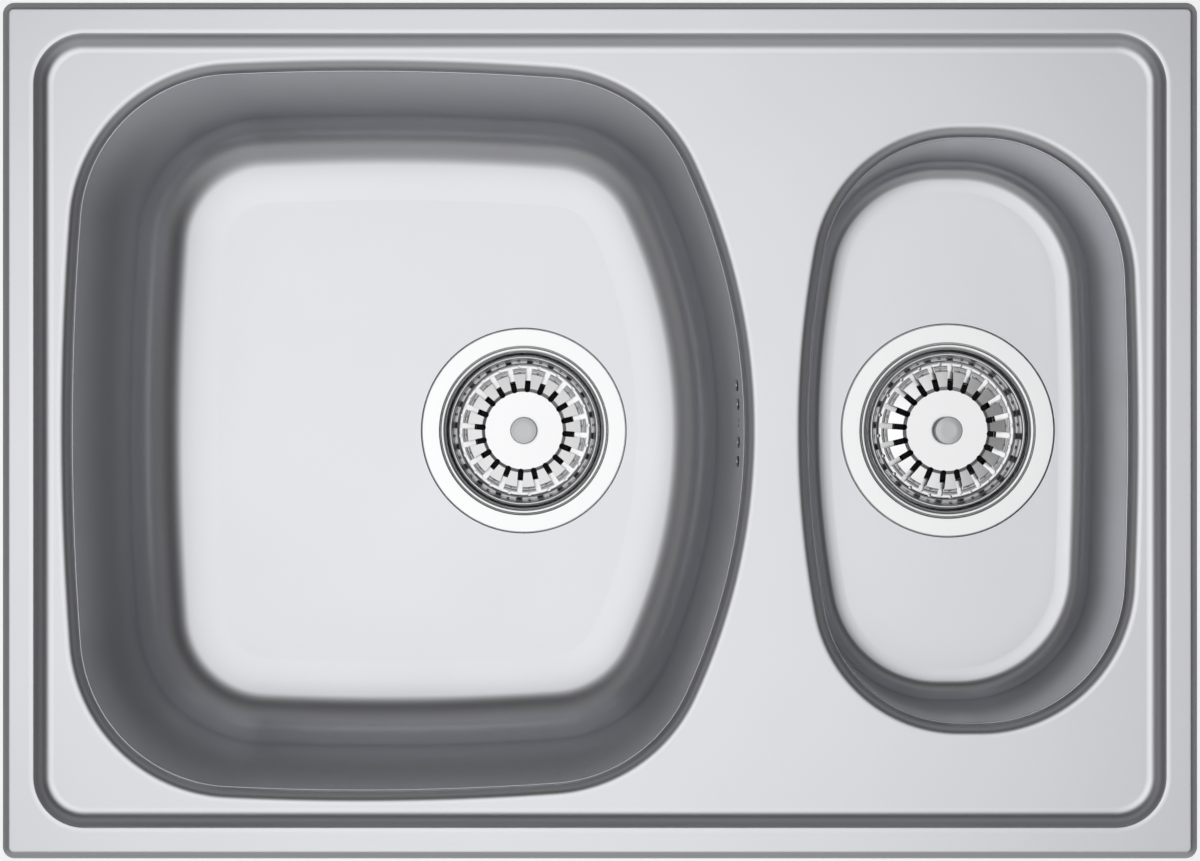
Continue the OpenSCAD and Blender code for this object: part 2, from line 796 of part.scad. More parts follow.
// The knob and stem: shoulder under the disc, collar that carries the plug, pin at the end
module basket_stem(at) {
    knob_r = knob_d / 2;
    under_disc = disc_z - sheet_t - face_gap;
    pin_end = -cup_h + screw_head_h - 9;
    color([0.7, 0.71, 0.72])
        translate(at)
            rotate_extrude()
                polygon([
                    [0, disc_z + knob_h], [knob_r - 0.6, disc_z + knob_h],
                    [knob_r, disc_z + knob_h - 0.6], [knob_r, disc_z + knob_h - 3],
                    [4, disc_z + knob_h - 4.5], [4, disc_z + face_gap], [stem_r, disc_z + face_gap],
                    [stem_r, under_disc], [6, under_disc], [6, under_disc - 2],
                    [stem_r, under_disc - 2], [stem_r, plug_bottom - face_gap],
                    [7, plug_bottom - face_gap], [7, plug_bottom - face_gap - 1],
                    [pin_r, plug_bottom - face_gap - 1], [pin_r, pin_end + 1],
                    [pin_r - 1, pin_end], [0, pin_end]
                ]);
}

// The rubber plug on the stem, its edge just over the cup's cone
module basket_plug(at) {
    color(dark_rubber)
        translate([at.x, at.y, at.z + plug_bottom])
            difference() {
                cylinder(plug_t, plug_r - 0.5, plug_r);
                translate([0, 0, -1])
                    cylinder(plug_t + 2, stem_r + 0.05, stem_r + 0.05);
            }
}

module main_flange_gasket() { flange_gasket(main_at); }
module main_waste_flange() { waste_flange(main_at); }
module main_body_gasket() { body_gasket(main_at); }
module main_waste_body() { waste_body(main_at, spigot = true); }
module main_waste_outlet() { waste_outlet(main_at); }
module main_clamp_screw() { clamp_screw(main_at); }
module main_clamp_nut() { clamp_nut(main_at); }
module main_basket() { basket(main_at); }
module main_basket_stem() { basket_stem(main_at); }
module main_basket_plug() { basket_plug(main_at); }
module half_flange_gasket() { flange_gasket(half_at); }
module half_waste_flange() { waste_flange(half_at); }
module half_body_gasket() { body_gasket(half_at); }
module half_waste_body() { waste_body(half_at); }
module half_waste_outlet() { waste_outlet(half_at); }
module half_clamp_screw() { clamp_screw(half_at); }
module half_clamp_nut() { clamp_nut(half_at); }
module half_basket() { basket(half_at); }
module half_basket_stem() { basket_stem(half_at); }
module half_basket_plug() { basket_plug(half_at); }

// The screw through the bowl's wall that holds the overflow head
module overflow_screw() {
    wall_in = (overflow_drop - bowl_roll_r) * tan(main_draft);
    head_at = main_right - wall_in - 2.4;
    color([0.72, 0.73, 0.74])
        translate([head_at, overflow_y, overflow_z])
            rotate([0, 90, 0])
                difference() {
                    union() {
                        cylinder(2, 4.5, 4.5);
                        cylinder(head_x + head_depth - head_wall - head_at - 1, 2, 2);
                    }
                    for (turn = [0, 90])
                        rotate([0, 0, turn])
                            translate([-2.6, -0.5, -1])
                                cube([5.2, 1, 2]);
                }
}

// The rubber ring between the bowl's wall and the overflow head, cut to the wall's shape
module overflow_gasket() {
    side = main_outline[0];
    wall = wall_points(main_h, main_draft, main_foot_r);
    inside = [
        [wall[0].x - sheet_t / cos(main_draft) - face_gap, seam_z + 1],
        [wall[1].x - sheet_t / cos(main_draft) - face_gap, wall[1].y],
        [20, wall[1].y], [20, seam_z + 1]
    ];
    color(dark_rubber)
        difference() {
            translate([head_x - 8, overflow_y - head_w / 2, overflow_z - head_h / 2])
                cube([8, head_w, head_h]);
            translate([head_x - 9, overflow_y - head_w / 2 + 5, overflow_z - head_h / 2 + 4])
                cube([10, head_w - 10, head_h - 8]);
            translate(side[0])
                rotate([0, 0, side[2]])
                    rotate_extrude(angle = side[3] - side[2], $fn = sweep_fn)
                        polygon([for (p = inside) [side[1] - p.x, p.y]]);
        }
}

// The moulded box behind the slots, with a boss for the screw and a spout below
module overflow_head() {
    cavity = head_depth - head_wall;
    color(moulding_color)
        translate([head_x + face_gap, overflow_y, overflow_z])
            difference() {
                union() {
                    difference() {
                        translate([0, -head_w / 2, -head_h / 2])
                            cube([head_depth, head_w, head_h]);
                        translate([-1, -head_w / 2 + head_wall, -head_h / 2 + head_wall])
                            cube([cavity + 1, head_w - 2 * head_wall, head_h - 2 * head_wall]);
                    }
                    rotate([0, 90, 0])
                        cylinder(head_depth - 0.5, 4.2, 4.2);
                    translate([spout_x - head_x, 0, spout_end - overflow_z])
                        cylinder(overflow_z - head_h / 2 + 1 - spout_end, pipe_r, pipe_r);
                }
                translate([spout_x - head_x, 0, spout_end - overflow_z - 1])
                    cylinder(overflow_z - head_h / 2 + head_wall + 2 - spout_end,
                        pipe_r - pipe_wall, pipe_r - pipe_wall);
                translate([-1, 0, 0])
                    rotate([0, 90, 0])
                        cylinder(cavity + 1, 2.05, 2.05);
            }
}

// The moulded pipe from the overflow head down and across to the main waste
module overflow_pipe() {
    bore = pipe_r - pipe_wall;
    top = spout_end - face_gap;
    color([0.75, 0.76, 0.76])
        translate([main_at.x, main_at.y, 0])
            rotate([0, 0, pipe_turn]) {
                translate([pipe_reach, 0, spigot_z + pipe_bend_r])
                    tube(pipe_r, bore, top - spigot_z - pipe_bend_r);
                translate([pipe_reach - pipe_bend_r, 0, spigot_z + pipe_bend_r])
                    rotate([90, 0, 0])
                        rotate([0, 0, -90])
                            rotate_extrude(angle = 90)
                                translate([pipe_bend_r, 0])
                                    difference() {
                                        circle(pipe_r);
                                        circle(bore);
                                    }
                translate([spigot_end + face_gap, 0, spigot_z])
                    rotate([0, 90, 0])
                        tube(pipe_r, bore, pipe_reach - pipe_bend_r - spigot_end - face_gap);
            }
}

// The two ring nuts over the pipe's joints
module overflow_nuts() {
    nut_l = 18;
    color([0.3, 0.31, 0.32])
        translate([main_at.x, main_at.y, 0])
            rotate([0, 0, pipe_turn]) {
                translate([pipe_reach, 0, spout_end - nut_l / 2])
                    tube(pipe_r + 4, pipe_r + 0.2, nut_l);
                translate([spigot_end - nut_l / 2, 0, spigot_z])
                    rotate([0, 90, 0])
                        tube(pipe_r + 4, pipe_r + 0.2, nut_l);
            }
}

deck_panel();
main_bowl();
half_bowl();
rim_seal();
main_sound_pads();
half_sound_pads();
clip_brackets();
clip_screws();
clip_jaw(clip_places[0]);  // clip_jaw_1
clip_jaw(clip_places[1]);  // clip_jaw_2
clip_jaw(clip_places[2]);  // clip_jaw_3
clip_jaw(clip_places[3]);  // clip_jaw_4
clip_jaw(clip_places[4]);  // clip_jaw_5
clip_jaw(clip_places[5]);  // clip_jaw_6
clip_jaw(clip_places[6]);  // clip_jaw_7
clip_jaw(clip_places[7]);  // clip_jaw_8
main_flange_gasket();
main_waste_flange();
main_body_gasket();
main_waste_body();
main_waste_outlet();
main_clamp_screw();
main_clamp_nut();
main_basket();
main_basket_stem();
main_basket_plug();
half_flange_gasket();
half_waste_flange();
half_body_gasket();
half_waste_body();
half_waste_outlet();
half_clamp_screw();
half_clamp_nut();
half_basket();
half_basket_stem();
half_basket_plug();
overflow_screw();
overflow_gasket();
overflow_head();
overflow_pipe();
overflow_nuts();
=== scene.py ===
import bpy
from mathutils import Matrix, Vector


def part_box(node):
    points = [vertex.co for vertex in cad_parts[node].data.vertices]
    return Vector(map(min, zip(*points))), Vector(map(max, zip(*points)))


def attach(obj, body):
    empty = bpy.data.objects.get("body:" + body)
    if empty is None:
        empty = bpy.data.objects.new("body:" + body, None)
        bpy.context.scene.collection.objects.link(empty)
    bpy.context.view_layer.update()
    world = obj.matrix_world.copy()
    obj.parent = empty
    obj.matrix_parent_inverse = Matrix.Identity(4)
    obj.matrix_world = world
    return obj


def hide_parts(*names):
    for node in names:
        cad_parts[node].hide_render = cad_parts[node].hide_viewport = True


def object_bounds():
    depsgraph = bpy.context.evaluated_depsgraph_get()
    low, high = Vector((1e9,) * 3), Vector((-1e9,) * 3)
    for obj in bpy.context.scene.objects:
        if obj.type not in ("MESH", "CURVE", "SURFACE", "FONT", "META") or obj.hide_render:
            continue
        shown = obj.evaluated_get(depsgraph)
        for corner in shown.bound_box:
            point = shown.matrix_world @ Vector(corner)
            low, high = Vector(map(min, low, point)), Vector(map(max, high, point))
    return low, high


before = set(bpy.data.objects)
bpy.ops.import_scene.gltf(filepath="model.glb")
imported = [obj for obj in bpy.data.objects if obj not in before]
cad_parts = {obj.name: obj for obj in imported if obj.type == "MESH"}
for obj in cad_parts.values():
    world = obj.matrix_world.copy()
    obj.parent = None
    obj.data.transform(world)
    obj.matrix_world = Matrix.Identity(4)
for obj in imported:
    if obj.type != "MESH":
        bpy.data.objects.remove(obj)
cad_box = [list(corner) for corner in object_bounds()]

from math import asin, atan2, ceil, cos, degrees, pi, radians, sin, sqrt, tan

import bmesh
import bpy
from bmesh import ops
from mathutils import Matrix, Vector

# Camera: straight above the middle of the plate, near enough for the bowls' walls to show
# on all sides. The picture is 1200 by 861 and the plate fills it from edge to edge.
MM = 0.001
PICTURE_W = 601.5 * MM
CAMERA_ABOVE_RIM = 1290 * MM
SENSOR_W = 36.0
plate_low, plate_high = (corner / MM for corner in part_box("deck_panel"))
scene = bpy.context.scene
camera = bpy.data.objects.new("camera", bpy.data.cameras.new("camera"))
camera.location = (0, 0, plate_high.z * MM + CAMERA_ABOVE_RIM)
camera.data.sensor_width = SENSOR_W
camera.data.lens = SENSOR_W * CAMERA_ABOVE_RIM / PICTURE_W
scene.collection.objects.link(camera)
scene.camera = camera
scene.view_settings.view_transform = "Standard"


# Light: a smooth sky, such as a broad soft lamp overhead gives. It stays bright further down on
# the left and in front. Each side's levels are at the angles from straight up given below.
LEVELS = {
    "left": (1.47, 1.66, 1.76, 1.66, 1.26, 0.73, 0.32, 0.13, 0.14, 0.27, 0.28, 0.16, 0.08),
    "right": (1.47, 1.40, 1.36, 1.20, 0.76, 0.28, 0.03, 0.01, 0.04, 0.14, 0.20, 0.16, 0.08),
    "front": (1.47, 1.52, 1.50, 1.38, 1.12, 0.80, 0.54, 0.39, 0.38, 0.45, 0.48, 0.38, 0.28),
    "back": (1.47, 1.55, 1.54, 1.27, 0.78, 0.30, 0.04, 0.01, 0.08, 0.21, 0.28, 0.22, 0.14),
}
LEVEL_ANGLES = (0, 6, 10, 14, 18, 23, 28, 34, 42, 52, 62, 74, 90)
BACKDROP = (0.93, 0.93, 0.94, 1)


class Socket:
    """A shader socket that takes part in sums: each sum adds its Math node."""

    def __init__(self, tree, out):
        self.tree = tree
        self.out = out

    def maths(self, operation, *values):
        return add_node(self.tree, "Math", dict(enumerate(values)), operation=operation)

    def __add__(self, other):
        return self.maths("ADD", self, other)

    def __rsub__(self, other):
        return self.maths("SUBTRACT", other, self)

    def __mul__(self, other):
        return self.maths("MULTIPLY", self, other)

    def __truediv__(self, other):
        return self.maths("DIVIDE", self, other)


def add_node(tree, kind, sockets=(), output=0, **settings):
    """Adds a node, first with its settings and then with the values or links of its sockets."""
    node = tree.nodes.new("ShaderNode" + kind)
    for key, value in settings.items():
        if key == "stops":
            for place, _ in value[1:-1]:
                node.color_ramp.elements.new(place)
            for element, (place, colour) in zip(node.color_ramp.elements, value):
                element.position = place
                element.color = colour
        else:
            setattr(node, key, value)
    for key, value in dict(sockets).items():
        if isinstance(value, Socket):
            tree.links.new(value.out, node.inputs[key])
        else:
            node.inputs[key].default_value = value
    return Socket(tree, node.outputs[output]) if node.outputs else None


world = bpy.data.worlds.new("studio")
scene.world = world
world.use_nodes = True
tree = world.node_tree
tree.nodes.clear()
direction = add_node(tree, "TexCoord")
across, along, up = (add_node(tree, "SeparateXYZ", {0: direction}, i) for i in range(3))
slope = up.maths("ARCCOSINE", up) * (2 / pi)
level = {}
for side, values in LEVELS.items():
    stops = [(angle / 90, (value, value, value, 1)) for angle, value in zip(LEVEL_ANGLES, values)]
    level[side] = add_node(tree, "ValToRGB", {0: slope}, stops=stops)
to_right = across.maths("GREATER_THAN", across, 0.0)
to_back = along.maths("GREATER_THAN", along, 0.0)
sideways = across * across / (across * across + along * along + 1e-6)
sides = level["right"] * to_right + level["left"] * (1 - to_right)
ends = level["back"] * to_back + level["front"] * (1 - to_back)
sky = add_node(tree, "Background", {"Strength": sides * sideways + ends * (1 - sideways)})
pale = add_node(tree, "Background", {"Color": BACKDROP})
seen = add_node(tree, "LightPath", {}, 0)
studio = add_node(tree, "MixShader", {0: seen, 1: sky, 2: pale})
add_node(tree, "OutputWorld", {0: studio})


# Floor: a plain pale sheet just below the lowest waste outlet. It keeps the sink's shadow,
# and to the camera and in the steel it looks as pale as it is. From below it is clear.
FLOOR_GAP = 0.2 * MM
FLOOR_HALF = 12.0
FLOOR_COLOUR = (0.86, 0.86, 0.87, 1)
FLOOR_GLOW = 0.72


def add_object(name, shape):
    """Puts a shape into the scene, just as it is."""
    added = bpy.data.objects.new(name, bpy.data.meshes.new(name))
    shape.to_mesh(added.data)
    shape.free()
    scene.collection.objects.link(added)
    return added


floor_finish = bpy.data.materials.new("floor")
floor_finish.use_nodes = True
tree = floor_finish.node_tree
tree.nodes.clear()
paper = add_node(tree, "BsdfDiffuse", {"Color": FLOOR_COLOUR})
glow = add_node(tree, "Emission", {"Color": FLOOR_COLOUR, "Strength": FLOOR_GLOW})
glowing = add_node(tree, "AddShader", {0: paper, 1: glow})
rays = [add_node(tree, "LightPath", {}, ray)
    for ray in ("Is Camera Ray", "Is Glossy Ray", "Is Transmission Ray")]
seen = add_node(tree, "Clamp", {0: rays[0] + rays[1] + rays[2]})
above = add_node(tree, "MixShader", {0: seen, 1: paper, 2: glowing})
below = add_node(tree, "NewGeometry", {}, "Backfacing")
clear = add_node(tree, "BsdfTransparent")
sheet = add_node(tree, "MixShader", {0: below, 1: above, 2: clear})
add_node(tree, "OutputMaterial", {0: sheet})
shape = bmesh.new()
ops.create_grid(shape, x_segments=1, y_segments=1, size=FLOOR_HALF)
ops.translate(shape, verts=shape.verts, vec=(0, 0, cad_box[0][2] - FLOOR_GAP))
floor = add_object("floor", shape)
floor.data.materials.append(floor_finish)


# Deck panel: one sheet of stainless steel. Its outer edge is folded down to the worktop, a
# step is pressed round its deck, and its two holes are rolled down to meet the bowls. The
# finish is a fine satin. All sizes from here on are in millimetres.
SHEET = 0.8
EDGE_CORNER_R = 6
EDGE_SLOPE = 34
EDGE_UPPER_R = 3
EDGE_LOWER_R = 0.9
EDGE_FLAT = 2.54
EDGE_FOOT = 0.4
STEP_INSET = 14.0
STEP_CORNER_R = 27.4
STEP_LEAD_R = 9.5
STEP_LEAD = 10
STEP_LIP_R = 2
STEP_SLOPE = 55
FLAT_MARGIN = 0.6
BOWL_DROP = 4.5
BOWL_ROLL_R = 7
ARC_TURN = 3
ARC_CHORD = 9
BEND_TURN = 7
TOUCHING = 0.01
WELD_DIST = 0.0005
SHARP_ANGLE = 35
STEEL = (0.81, 0.815, 0.85)
DECK_ROUGHNESS = 0.25
DECK_HAZE = 0.37
CLOUD_SCALE = 14.0
BUMP_DEPTH = 0.0002

rim_z = plate_high.z
seam_z = plate_low.z
deck_z = seam_z + BOWL_DROP
plate_w = plate_high.x - plate_low.x
plate_d = plate_high.y - plate_low.y


def upright(angle):
    return Vector((cos(radians(angle)), sin(radians(angle)), 0))


def rectangle_arcs(w, d, r):
    """The four corner arcs of a rectangle, each as centre, radius, start and stop."""
    return [(Vector((x * (w / 2 - r), y * (d / 2 - r), 0)), r, start, start + 90)
        for x, y, start in ((1, -1, -90), (1, 1, 0), (-1, 1, 90), (-1, -1, 180))]


def crossing(p, p_r, q, q_r):
    """Where two circles cross, on the left of the way from p to q."""
    way = (q - p).normalized()
    apart = (q - p).length
    along = (p_r ** 2 - q_r ** 2 + apart ** 2) / (2 * apart)
    return p + along * way + sqrt(p_r ** 2 - along ** 2) * Vector((-way.y, way.x, 0))


def heading(p, q):
    return degrees(atan2(q.y - p.y, q.x - p.x))


def bowl_arcs(left, right, depth, crown, right_r, right_corner_r, end_r, left_corner_r, left_r):
    """A bowl's outline as eight arcs that run into each other."""
    right_c = Vector((right - right_r, 0, 0))
    end_c = Vector((left + crown, depth / 2 - end_r, 0))
    left_c = Vector((left + left_r, 0, 0))
    right_corner = crossing(right_c, right_r - right_corner_r, end_c, end_r - right_corner_r)
    left_corner = crossing(end_c, end_r - left_corner_r, left_c, left_r - left_corner_r)
    a = heading(right_c, right_corner)
    b = heading(end_c, right_corner)
    c = heading(end_c, left_corner)
    d = heading(left_c, left_corner)
    back = [(right_corner, right_corner_r, a, b), (end_c, end_r, b, c),
        (left_corner, left_corner_r, c, d)]
    front = [(Vector((centre.x, -centre.y, 0)), r, 360 - stop, 360 - start)
        for centre, r, start, stop in reversed(back)]
    return [(right_c, right_r, -a, a)] + back + [(left_c, left_r, d, 360 - d)] + front


def bend(across, height, r, start, stop, facing=1):
    """Points of a bend from one angle to another, each as inset, height and outward direction."""
    steps = max(2, ceil(abs(stop - start) / BEND_TURN))
    angles = [radians(start + (stop - start) * i / steps) for i in range(steps + 1)]
    return [(across + r * cos(a), height + r * sin(a), facing * cos(a), facing * sin(a))
        for a in angles]


def top_side(run):
    return [(inset, height) for inset, height, _, _ in run]


def under_side(run):
    return [(inset - SHEET * side, height - SHEET * up) for inset, height, side, up in run]


def ring_of(shape, arcs, start):
    """A closed ring of edges along an outline, at the start's inset and height, and the way
    outwards at each of its corners. Each arc is spun on from the end of the one before it."""
    inset, height = start
    before = set(shape.edges)
    out = {}
    first = last = None
    for centre, radius, begin, end in arcs:
        middle = Vector((centre.x, centre.y, height))
        corner = middle + (radius - inset) * upright(begin)
        if last is None:
            first = last = shape.verts.new(corner)
        elif (last.co - corner).length > TOUCHING:
            straight = shape.verts.new(corner)
            shape.edges.new((last, straight))
            last = straight
        out[last] = upright(begin)
        steps = max(2, ceil((end - begin) / ARC_TURN), ceil(radians(end - begin) * radius / ARC_CHORD))
        known = set(shape.verts)
        last = ops.spin(shape, geom=[last], cent=middle, axis=(0, 0, 1),
            angle=radians(end - begin), steps=steps)["geom_last"][0]
        for corner in set(shape.verts) - known:
            out[corner] = (corner.co - middle).normalized()
    if (last.co - first.co).length > TOUCHING:
        shape.edges.new((last, first))
    else:
        ops.weld_verts(shape, targetmap={last: first})
        del out[last]
    return [edge for edge in shape.edges if edge not in before], out


def carry(shape, ring, out, run):
    """Carries a ring along a run of insets and heights that starts at the ring's own."""
    for (inset_before, _), (inset, height) in zip(run, run[1:]):
        grown = ops.extrude_edge_only(shape, edges=ring)["geom"]
        ring = [part for part in grown if isinstance(part, bmesh.types.BMEdge)]
        known = set(ring)
        for corner in {corner for edge in ring for corner in edge.verts}:
            old = next(edge.other_vert(corner) for edge in corner.link_edges if edge not in known)
            out[corner] = out[old]
            corner.co -= out[old] * (inset - inset_before)
            corner.co.z = height
    return ring


def fill(shape, *rings):
    """Fills the flat between an outer ring and the rings inside it."""
    edges = [edge for ring in rings for edge in ring]
    ops.triangle_fill(shape, use_beauty=True, use_dissolve=False, edges=edges, normal=(0, 0, 1))


def new_finish(name):
    """A new material, with its node tree, its shader and the piece's own coordinates."""
    finish = bpy.data.materials.new(name)
    finish.use_nodes = True
    tree = finish.node_tree
    place = add_node(tree, "TexCoord", {}, "Object")
    return finish, tree, tree.nodes["Principled BSDF"], place


def fine_noise(tree, place, scale, detail=3.0):
    return add_node(tree, "TexNoise", {"Vector": place, "Scale": scale, "Detail": detail})


def dress(shaders, low, high, tone, gloss, depth, grain):
    """Gives shaders a colour between two, as the tone says, a roughness each and a bumpy grain."""
    tree = grain.tree
    tint = add_node(tree, "Mix", {"Factor": tone, 6: (*low, 1), 7: (*high, 1)}, 2, data_type="RGBA")
    bump = add_node(tree, "Bump", {"Strength": depth, "Distance": BUMP_DEPTH, "Height": grain})
    for shader, roughness in zip(shaders, gloss):
        tree.links.new(tint.out, shader.inputs["Base Color"])
        tree.links.new(roughness.out, shader.inputs["Roughness"])
        tree.links.new(bump.out, shader.inputs["Normal"])


def metal_finish(name, colour, roughness, grain=900.0, grain_depth=0.02, unevenness=0.04, haze=0):
    """Bare metal: a fine grain in the surface, with slight clouds in its tone and its gloss.
    A haze adds the wider, softer reflection of a satin surface to the sharper one."""
    finish, tree, shader, place = new_finish(name)
    lines = fine_noise(tree, place, grain)
    tone = lines * 0.5 + fine_noise(tree, place, CLOUD_SCALE) * 0.5
    gloss = [tone * (2 * unevenness) + (roughness - unevenness)]
    shaders = [shader]
    if haze:
        shaders.append(tree.nodes.new("ShaderNodeBsdfPrincipled"))
        gloss.append(gloss[0] + (haze - roughness))
        both = tree.nodes.new("ShaderNodeMixShader")
        for i, part in enumerate(shaders):
            tree.links.new(part.outputs[0], both.inputs[1 + i])
        tree.links.new(both.outputs[0], tree.nodes["Material Output"].inputs[0])
    for part in shaders:
        part.inputs["Metallic"].default_value = 1.0
    low = [value * (1 - unevenness) for value in colour]
    high = [min(1, value * (1 + unevenness)) for value in colour]
    dress(shaders, low, high, tone, gloss, grain_depth, lines)
    return finish


def into_place(shape, at):
    """Closes a shape's seams, turns its faces outwards and moves it from millimetres to its place."""
    ops.remove_doubles(shape, verts=shape.verts, dist=WELD_DIST)
    ops.recalc_face_normals(shape, faces=shape.faces)
    ops.translate(shape, verts=shape.verts, vec=at)
    ops.scale(shape, verts=shape.verts, vec=(MM, MM, MM))


def smooth(piece):
    piece.data.shade_smooth()
    piece.data.set_sharp_from_angle(angle=radians(SHARP_ANGLE))


def add_modifier(piece, kind, **settings):
    modifier = piece.modifiers.new(kind.lower(), kind)
    for key, value in settings.items():
        setattr(modifier, key, value)


def weigh_normals(piece):
    add_modifier(piece, "WEIGHTED_NORMAL", keep_sharp=True)


def make_piece(name, shape, finish, at=(0, 0, 0), weighted=False):
    """Turns a shape in millimetres into a named piece in its place in the frame."""
    into_place(shape, at)
    piece = add_object(name, shape)
    smooth(piece)
    piece.data.materials.append(finish)
    if weighted:
        weigh_normals(piece)
    return piece


main_low, main_high = (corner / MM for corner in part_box("main_bowl"))
half_low, half_high = (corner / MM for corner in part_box("half_bowl"))
MAIN_DRAFT = 4
HALF_DRAFT = 2.5
main_wall = SHEET / cos(radians(MAIN_DRAFT))
half_wall = SHEET / cos(radians(HALF_DRAFT))
main_arcs = bowl_arcs(main_low.x + main_wall, main_high.x - main_wall,
    main_high.y - main_low.y - 2 * main_wall, crown=146, right_r=315, right_corner_r=78,
    end_r=1400, left_corner_r=78, left_r=1425)
half_arcs = bowl_arcs(half_low.x + half_wall, half_high.x - half_wall,
    half_high.y - half_low.y - 2 * half_wall, crown=80, right_r=1800, right_corner_r=73,
    end_r=2000, left_corner_r=69, left_r=505)
plate_arcs = rectangle_arcs(plate_w, plate_d, EDGE_CORNER_R)
step_arcs = rectangle_arcs(plate_w - 2 * STEP_INSET, plate_d - 2 * STEP_INSET, STEP_CORNER_R)

satin_steel = metal_finish("satin_steel", STEEL, DECK_ROUGHNESS, haze=DECK_HAZE)

in_part, down_part = cos(radians(EDGE_SLOPE)), sin(radians(EDGE_SLOPE))
upper = bend(0, rim_z - EDGE_UPPER_R, EDGE_UPPER_R, 90 + EDGE_SLOPE, 90)
lower_x = upper[0][0] - EDGE_FLAT * in_part + EDGE_LOWER_R * down_part
lower_z = upper[0][1] - EDGE_FLAT * down_part - EDGE_LOWER_R * in_part
edge_in = EDGE_LOWER_R - lower_x
edge_run = [(0, EDGE_FOOT, -1, 0)]
edge_run += bend(EDGE_LOWER_R, lower_z, EDGE_LOWER_R, 180, 90 + EDGE_SLOPE)
edge_run += [(inset + edge_in, height, side, up) for inset, height, side, up in upper]
edge_run += [(edge_in + FLAT_MARGIN, rim_z, 0, 1)]

lead, slope = radians(STEP_LEAD), radians(STEP_SLOPE)
lip_x = (STEP_LEAD_R - STEP_LIP_R) * sin(lead)
lip_z = rim_z - STEP_LEAD_R + (STEP_LEAD_R - STEP_LIP_R) * cos(lead)
slope_x = lip_x + STEP_LIP_R * sin(slope)
slope_z = lip_z + STEP_LIP_R * cos(slope)
step_foot_r = (slope_z - deck_z) / (1 - cos(slope))
foot_x = slope_x + step_foot_r * sin(slope)
step_run = [(-FLAT_MARGIN, rim_z, 0, 1)]
step_run += bend(0, rim_z - STEP_LEAD_R, STEP_LEAD_R, 90, 90 - STEP_LEAD)
step_run += bend(lip_x, lip_z, STEP_LIP_R, 90 - STEP_LEAD, 90 - STEP_SLOPE)[1:]
step_run += bend(foot_x, deck_z + step_foot_r, step_foot_r, 270 - STEP_SLOPE, 270, -1)[1:]
step_run += [(foot_x + FLAT_MARGIN, deck_z, 0, 1)]

roll_x = -sqrt(BOWL_ROLL_R ** 2 - (BOWL_ROLL_R - BOWL_DROP) ** 2)
roll_z = deck_z - BOWL_ROLL_R


def roll_side(depth):
    """The bowl's roll from the seam up to the deck, a depth below the deck's top."""
    r = BOWL_ROLL_R - depth
    turned = bend(roll_x, roll_z, r, degrees(asin((seam_z - roll_z) / r)), 90)
    return [(inset, height) for inset, height, _, _ in turned] + [(roll_x - FLAT_MARGIN, roll_z + r)]


shape = bmesh.new()
edge_ring, edge_out = ring_of(shape, plate_arcs, top_side(edge_run)[0])
rim_top = carry(shape, edge_ring, edge_out, top_side(edge_run))
rim_under = carry(shape, edge_ring, edge_out, top_side(edge_run)[:1] + under_side(edge_run))
decks = {}
for side in (top_side, under_side):
    lip, lip_out = ring_of(shape, step_arcs, side(step_run)[0])
    decks[side] = [carry(shape, lip, lip_out, side(step_run))]
    fill(shape, rim_top if side is top_side else rim_under, lip)
for arcs in (main_arcs, half_arcs):
    seam, seam_out = ring_of(shape, arcs, roll_side(0)[0])
    decks[top_side].append(carry(shape, seam, seam_out, roll_side(0)))
    decks[under_side].append(carry(shape, seam, seam_out, roll_side(0)[:1] + roll_side(SHEET)))
for rings in decks.values():
    fill(shape, *rings)
deck = make_piece("deck", shape, satin_steel, weighted=True)
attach(deck, "root")
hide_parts("deck_panel")


# Bowls: each is deep-drawn from one sheet and welded to the deck along a fine polished bead. Its
# foot eases into its floor, and a shallow seat for the waste is pressed into that. The main
# bowl's right wall has four overflow slots and a hole for the overflow's screw.
BEAD = [(0.12, -0.02), (0.38, -0.10), (0.52, -0.32), (0.46, -0.58), (0.16, -0.86), (0.06, -1.2)]
SEAT_CORNER_R = 0.4
SEAT_FOOT_R = 0.3
SEAT_R = 57.5
SEAT_DEPTH = 1.6
WASTE_HOLE_R = 45
OVERFLOW_DROP = 28
OVERFLOW_Y = 3.7
OVERFLOW_PITCH = 9.8
OVERFLOW_SLOT = (6, 11)
OVERFLOW_HOLE_R = 2.6
OVERFLOW_CUT = 20
OVERFLOW_CUT_IN = 12
EASE = 10
bowls = {
    "main": dict(arcs=main_arcs, draft=MAIN_DRAFT, foot_r=30, ease_r=110),
    "half": dict(arcs=half_arcs, draft=HALF_DRAFT, foot_r=12, ease_r=34),
}
wastes = {}
shift = Matrix.Translation


def spun(angle, axis="Z"):
    return Matrix.Rotation(radians(angle), 4, axis)


def cut(piece, shape, at=(0, 0, 0)):
    """Cuts a shape in millimetres, moved to its place, out of a piece."""
    into_place(shape, at)
    cutter = add_object("cutter", shape)
    add_modifier(piece, "BOOLEAN", object=cutter, operation="DIFFERENCE", solver="EXACT")
    graph = bpy.context.evaluated_depsgraph_get()
    worked = bpy.data.meshes.new_from_object(piece.evaluated_get(graph))
    piece.modifiers.clear()
    piece.data = worked
    piece.data.set_sharp_from_angle(angle=radians(SHARP_ANGLE))
    bpy.data.objects.remove(cutter)


